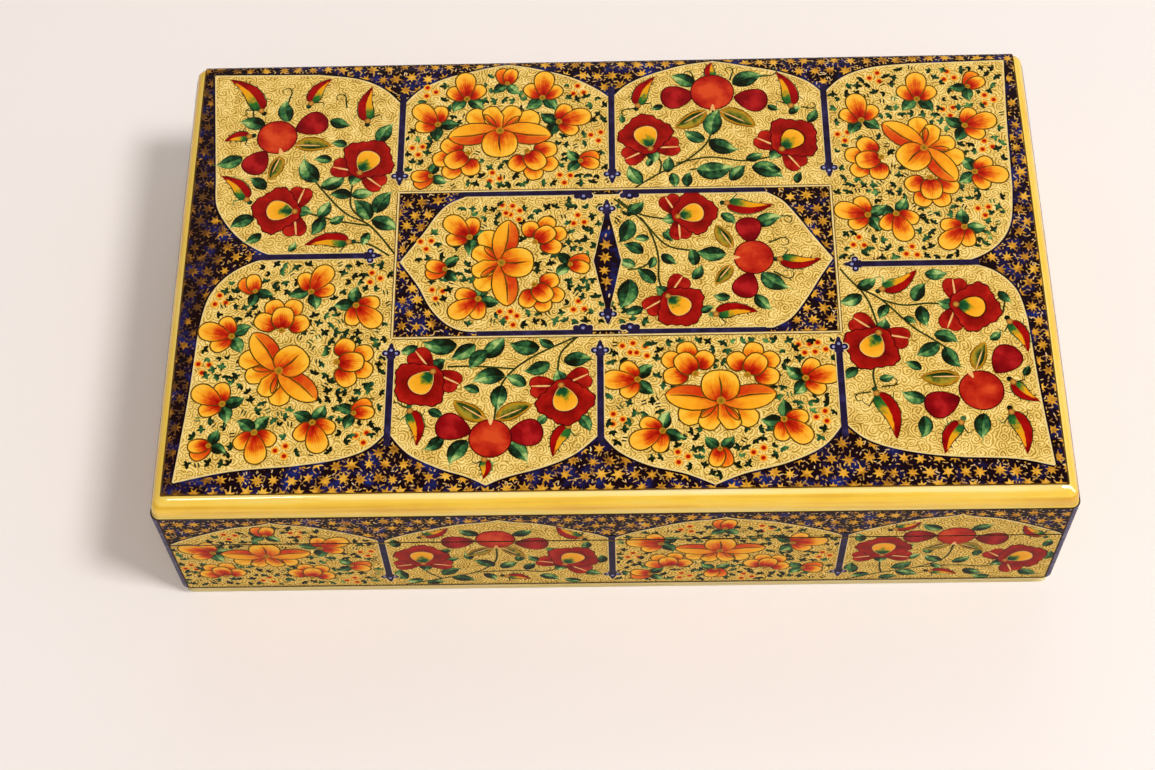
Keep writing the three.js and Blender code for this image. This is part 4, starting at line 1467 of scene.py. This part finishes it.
for places in ((left_bar, 63, left_bar, 33), (back_bar, 64, back_bar, 32.5),
               (right_bar, 64, right_bar, 33.5), (-104, left_side_bar, -70, left_side_bar),
               (106, right_side_bar, 71, right_side_bar), (left_bar, -58, left_bar, -29),
               (front_bar, -58, front_bar, -29), (front_right_bar, -57, front_right_bar, -29)):
    divider(spindle, *places)
lay(spindle, "lid_dividers", "lid", on_top)

# The lid's ground: blue with stars under all the panels, inside the gold edge. An orange-brown line
# parts it from the gold, except at the back, where the blue runs on over the rounded edge.
blue_side = 123.1
blue_front = -72.1
blue_back = 75.3
strip_side = 93
strip_front = -46
strip_back = 56
line_side = 123.2
line_front = -72.2
lid_panels = (back_left, back_middle_left, back_middle_right, back_right, front_left, front_middle_left,
              front_middle_right, front_right, centre)
for name, left, bottom, right, top in (
        ("back", -blue_side, strip_back, blue_side, blue_back),
        ("left", -blue_side, strip_front, -strip_side, strip_back),
        ("centre", left_bar, near_line, right_bar, far_line),
        ("right", strip_side, strip_front, blue_side, strip_back),
        ("front", -blue_side, blue_front, blue_side, strip_front)):
    ground = starred_ground(left, bottom, right, top, lid_panels)
    lay(ground, f"lid_ground_{name}", "lid", on_top, window=(left, bottom, right, top))
edge = Painting()
corners = at(-line_side, blue_back, -line_side, line_front, line_side, line_front, line_side, blue_back)
for start, end in zip(corners, corners[1:]):
    edge.stroke(line_brown, star_coat, [start, end], 0.45, steady, along=1, across=1, even=True)
lay(edge, "lid_edge_line", "lid", on_top)


# The walls' paintings: blue with stars under arched panels, parted at the seam between lid and base. A
# dark line runs along the cream edge below.
wall_foot = 4.5
wall_top = 49.5
wall_seam = (33.25, 33.95)
arch_spring = 34.0
arch_peak = 47.0
bar_top = 36.5
bar_foot = 11.5
foot_line_coat = 35
foot_line_width = 1.2


def arch_panel(left, middle, right, ends=(0, 0)):
    """A panel from divider to divider, each of whose ends may spring lower."""
    shape = ((0, 0), (0.16, 0.27), (0.4, 0.55), (0.66, 0.8), (0.88, 0.9), (1, 1))
    curves = []
    for edge, drop in ((right, ends[1]), (left, ends[0])):
        low = arch_spring - drop
        curves.append([Vector((edge + (middle - edge) * s, low + (arch_peak - low) * r, 0))
                       for s, r in shape])
    up, down = curves[0], curves[1][::-1]
    return panel([up[:1], up[1:], down[1:], at(left, wall_foot), at(right, wall_foot)], lined=(1, 2),
                 ground=wall_ground)


def paint_wall(name, turn, half, panels, bars, seam=wall_seam):
    """Lays a wall's ground and its panels, each in two parts that end just short of the seam."""
    ground = starred_ground(-half, wall_foot, half, wall_top, panels)
    for x in bars:
        divider(ground, x, bar_top, x, bar_foot, pale_after=1.5)
    ground.stroke(umber, foot_line_coat, at(-half, wall_foot, half, wall_foot), foot_line_width, steady,
                  along=1, across=1, even=True)
    for number, painting in enumerate([ground] + panels):
        part = f"painting_{number}" if number else "ground"
        lay(painting, f"{name}_base_{part}", "base", on_wall(turn), (-half, wall_foot, half, seam[0]))
        lay(painting, f"{name}_lid_{part}", "lid", on_wall(turn), (-half, seam[1], half, wall_top))


# The front wall: four arches, orange and red by turns, as on the lid. Every picture runs on over the
# seam, so the base and the lid carry a part of each.
long_half = 124.6
front_one = arch_panel(-127, -94.5, -65, ends=(2.5, 0))
bouquet(front_one,
        lilies=[(-98.5, 26, 0, 0.82)],
        fives=[(-113, 16, 10, 0.85), (-87, 14.5, -10, 0.85)],
        threes=[(-117, 30, 155), (-79.5, 33, 35)],
        buds=[(-97, 42, 90), (-72.5, 18, -10)],
        dots=[(-107, 39), (-88, 40), (-121.5, 18.5), (-100.5, 9.5), (-70, 27), (-76, 8.5)])
front_two = arch_panel(-65, -31.5, -0.5)
spray(front_two,
      roses=[(-54.5, 19.5, 90, 0.95), (-14, 18, 62, 0.95)],
      round_one=(-33, 35, 5.3, -90),
      long_ones=[(-43.5, 33.5, 190, 9), (-23, 32, -5, 9)],
      olives=[(-34.5, 29.5, -42, 24.5), (-31.5, 29.5, -25.5, 23)],
      buds=[(-53, 37.5, -45.5, 42.5, -1), (-9, 35.5, -16, 42.5, 1), (-31, 10, -24, 8, 1)],
      stems=[(-61, 5, -50, 9, -40, 13, -34, 20, -33, 29), (-50, 9, -54, 14, -54.5, 19),
             (-40, 13, -28, 14, -20, 13, -14, 17)],
      leaves=[(-61, 12, 100, 6.5), (-47, 13.5, 40, 6.5), (-44, 8.5, -20, 6.5), (-37, 19, 140, 6.5),
              (-30, 17.5, 40, 6), (-36, 10, -50, 5), (-24, 16.5, 60, 5), (-19, 9, -30, 6),
              (-6.5, 12.5, -30, 6), (-8, 30.5, 80, 4.5), (-40, 39.5, 150, 6), (-25.5, 39, 30, 6),
              (-61.5, 33, 100, 5), (-47.5, 27.5, 30, 4), (-17.5, 27.5, 150, 4), (-58, 8, 200, 5),
              (-46.5, 21.5, 20, 5), (-41.5, 24, 100, 4.5), (-27, 22.5, 80, 4.5), (-22.5, 22, 130, 4.5),
              (-3.8, 21, 80, 5), (-52, 6.3, 10, 5), (-12, 7, 160, 5)])
front_three = arch_panel(-0.5, 31, 64.5)
bouquet(front_three,
        lilies=[(30, 26, 0, 0.82)],
        fives=[(15.5, 19, 10, 0.85), (44, 17.5, -10, 0.85)],
        threes=[(9.5, 31.5, 170), (54, 31, 10)],
        buds=[(31, 43, 90), (7.5, 10.5, 180), (29, 10.5, 270), (57, 13.5, 0)],
        dots=[(20.5, 40), (42, 40), (5.5, 23), (59.5, 22), (20, 9), (38, 8)])
front_four = arch_panel(64.5, 95.5, 127, ends=(0, 2.5))
spray(front_four,
      roses=[(76, 21.5, 90, 0.95), (111.5, 17, 32, 0.95)],
      round_one=(95.5, 33.5, 5.1, -90),
      long_ones=[(85.5, 33.5, 185, 9), (105.5, 31.5, -10, 9)],
      olives=[(94, 28.5, 87.5, 25), (97, 28.5, 104, 24)],
      buds=[(78, 38.5, 85, 42.5, -1), (119.5, 33, 113, 39.5, 1), (91, 10, 99, 8, 1)],
      stems=[(67, 5, 77, 9.5, 87, 13, 94, 19, 95.5, 28), (77, 9.5, 76, 14, 76, 20),
             (87, 13, 98, 14, 106, 13, 111, 16)],
      leaves=[(68.5, 13, 100, 6.5), (82, 14.5, 40, 6.5), (84, 9, -20, 6.5), (91, 19, 140, 6),
              (98.5, 18, 40, 5.5), (92, 13.5, -50, 4), (103, 10, -30, 6), (119, 9, -30, 6),
              (121.5, 28, 80, 4.5), (88.5, 39.5, 150, 6), (102, 38.5, 30, 6), (68.5, 33, 100, 5),
              (82.5, 27.5, 30, 4), (71, 8, 200, 5), (84.5, 20.5, 30, 5), (89, 24.5, 100, 4.5),
              (102.5, 22.5, 80, 4.5), (123, 20, 80, 5), (106, 6.6, 170, 5), (79, 6.3, 10, 5)])
paint_wall("front", 0.0, long_half, [front_one, front_two, front_three, front_four], (-65, -0.5, 64.5))


# The other walls carry the same scheme: two arches on each side and four at the back, where the walls
# slope away behind the hinge pins and the painting ends short of the slopes.
def orange_arch(left, middle, right):
    """An arch with a bouquet laid out about its middle."""
    made = arch_panel(left, middle, right)
    bouquet(made,
            lilies=[(middle, 26, 0, 0.9)],
            fives=[(middle - 14.5, 16.5, 10, 0.95), (middle + 14, 16, -10, 0.95)],
            threes=[(middle - 20.5, 31, 165), (middle + 21, 31, 15)],
            buds=[(middle, 42.5, 90), (middle - 25.5, 14, 190), (middle + 25.5, 14, -10)],
            dots=[(middle - 10, 39.5), (middle + 10.5, 39.5), (middle - 25, 22.5), (middle + 25, 22.5),
                  (middle, 9)])
    return made


def red_arch(left, middle, right):
    """An arch with roses, fruit and a stem laid out about its middle."""
    made = arch_panel(left, middle, right)
    spray(made,
          roses=[(middle - 21.5, 19, 95, 0.95), (middle + 18.5, 18, 58, 0.95)],
          round_one=(middle, 35, 5.3, -90),
          long_ones=[(middle - 10.4, 33.5, 190, 9), (middle + 10.2, 32.5, -8, 9)],
          olives=[(middle - 1.5, 29.5, middle - 8.5, 24.5), (middle + 1.5, 29.5, middle + 8, 24.5)],
          buds=[(middle - 19.5, 37, middle - 12.5, 42, -1), (middle + 21, 36, middle + 14.5, 42, 1),
                (middle + 2, 9.5, middle + 10, 7.5, 1)],
          stems=[(middle - 29, 5, middle - 17, 9, middle - 7, 13, middle - 1, 20, middle, 29),
                 (middle - 17, 9, middle - 21, 13, middle - 21.5, 18),
                 (middle - 7, 13, middle + 5, 14, middle + 13, 13, middle + 18, 17)],
          leaves=[(middle - 28, 12, 100, 6.5), (middle - 14, 14, 40, 6.5), (middle - 11, 8.5, -20, 6.5),
                  (middle - 4, 19, 140, 6), (middle + 3, 18, 40, 6), (middle - 3, 10, -50, 5),
                  (middle + 9, 16.5, 60, 5), (middle + 14, 9, -30, 6), (middle + 26, 13, -30, 6),
                  (middle + 26, 31, 80, 4.5), (middle - 7, 39.5, 150, 6), (middle + 7.5, 39, 30, 6),
                  (middle - 28, 31, 100, 5), (middle - 25, 7.5, 200, 5), (middle - 14, 22, 30, 5),
                  (middle - 8, 24, 100, 4.5), (middle + 6, 22.5, 80, 4.5), (middle + 28, 21, 80, 5),
                  (middle + 20, 6.8, 170, 5)])
    return made


side_half = (half_width - corner_radius) / mm + 0.1
back_seam = (30.55, 36.65)
paint_wall("right", math.pi / 2, side_half, [orange_arch(-76, -38, 0), red_arch(0, 38, 76)], (0,))
paint_wall("left", -math.pi / 2, side_half, [red_arch(-76, -38, 0), orange_arch(0, 38, 76)], (0,))
paint_wall("back", math.pi, long_half,
           [orange_arch(-127, -95.5, -64), red_arch(-64, -32, 0), orange_arch(0, 32, 64),
            red_arch(64, 95.5, 127)], (-64, 0, 64), back_seam)


# The hinges: two small butt hinges of drawn brass, brushed along their length and waxed, with their
# leaves let into the back rims and held by countersunk screws.
brass = Paint("hinge_brass")
scratches = brass.mottle(0.4 * mm, 0.35, 4, (0.03, 1, 1))
brass_tone = brass.sum(brass.sum(scratches, brass.mottle(4 * mm, 0.4)), 0.5)
brass_tone = brass.ramp(brass_tone, [(0.0, "#B98A3E"), (1.0, "#F4D488")])
brass.tree.links.new(brass_tone, brass.shader.inputs["Base Color"])
brass.shader.inputs["Metallic"].default_value = 1.0
brass.shader.inputs["Roughness"].default_value = 0.28
scored = brass.node("Bump", {"Height": scratches, "Distance": 0.01 * mm})
brass.tree.links.new(scored.outputs["Normal"], brass.shader.inputs["Normal"])
brass = brass.material
for hand in ("left", "right"):
    for part in ("base_leaf", "lid_leaf", "pin", "base_screw_1", "base_screw_2", "lid_screw_1",
                 "lid_screw_2"):
        finish_node(f"{hand}_hinge_{part}", brass)


# The lining: deep red velvet over thin padding, in panels round the walls and a crowned pad on the
# floor and inside the lid. Each is soft at its edges and drawn in a little along its sides.
velvet = Paint("lining_velvet")
nap = velvet.ramp(velvet.sum(velvet.mottle(13 * mm, 1.0, 5), 0.5), [(0.15, "#590B10"), (0.9, "#7E171B")])
velvet.tree.links.new(nap, velvet.shader.inputs["Base Color"])
velvet.shader.inputs["Roughness"].default_value = 0.85
velvet.shader.inputs["Specular IOR Level"].default_value = 0.2
velvet.shader.inputs["Sheen Weight"].default_value = 0.5
velvet.shader.inputs["Sheen Roughness"].default_value = 0.35
velvet.shader.inputs["Sheen Tint"].default_value = colour("#F0A0A0")
ruffled = velvet.node("Bump", {"Height": velvet.mottle(0.3 * mm), "Distance": 0.12 * mm})
velvet.tree.links.new(ruffled.outputs["Normal"], velvet.shader.inputs["Normal"])
velvet = velvet.material
drawn_in = 0.25 * mm
long_side = 50 * mm


def soft_panel(node, body, thin, face):
    """A padded panel in the space of its CAD solid: thin is its axis of thickness and face is 1 or -1,
    the way that its crowned side looks."""
    low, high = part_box(node)
    middle = (low + high) / 2
    half = (high - low) / 2
    wide = [axis for axis in (0, 1, 2) if axis != thin]
    mesh = bmesh.new()
    bmesh.ops.create_cube(mesh, size=2)
    for axis in wide:
        long_edges = [e for e in mesh.edges if abs(e.verts[0].co[axis] - e.verts[1].co[axis]) > 0.1]
        cuts = 44 if half[axis] > long_side else 20
        bmesh.ops.subdivide_edges(mesh, edges=long_edges, cuts=cuts, use_grid_fill=True)
    round_off = min(half[thin], half[wide[0]], half[wide[1]])
    for vertex in mesh.verts:
        spread = [vertex.co[axis] for axis in wide]
        drawn = [1 - (drawn_in / half[axis]) * (1 - other ** 2)
                 for axis, other in zip(wide, reversed(spread))]
        rim = [min(1.0, (1 - abs(value)) * half[axis] / (2.5 * round_off))
               for axis, value in zip(wide, spread)]
        crown = (rim[0] * (2 - rim[0])) * (rim[1] * (2 - rim[1]))
        swell = 0.72 + 0.28 * (1 - spread[0] ** 2) * (1 - spread[1] ** 2)
        depth = 0.35 + 0.65 * crown * swell if vertex.co[thin] * face > 0 else 1.0
        place = Vector(middle)
        for axis, value, pull in zip(wide, spread, drawn):
            place[axis] += value * half[axis] * pull
        if vertex.co[thin] * face > 0:
            place[thin] += face * half[thin] * (2 * depth - 1)
        else:
            place[thin] -= face * half[thin]
        vertex.co = place
    bmesh.ops.recalc_face_normals(mesh, faces=mesh.faces)
    made = piece(node.replace("base_floor_pad", "floor_cushion") + "_velvet", mesh, [velvet])
    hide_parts(node)
    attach(made, body)


soft_panel("base_floor_pad", "base", thin=2, face=1)
soft_panel("lid_pad", "lid", thin=2, face=-1)
for body in ("base", "lid"):
    soft_panel(f"{body}_front_lining", body, thin=1, face=1)
    soft_panel(f"{body}_back_lining", body, thin=1, face=-1)
    soft_panel(f"{body}_left_lining", body, thin=0, face=1)
    soft_panel(f"{body}_right_lining", body, thin=0, face=-1)
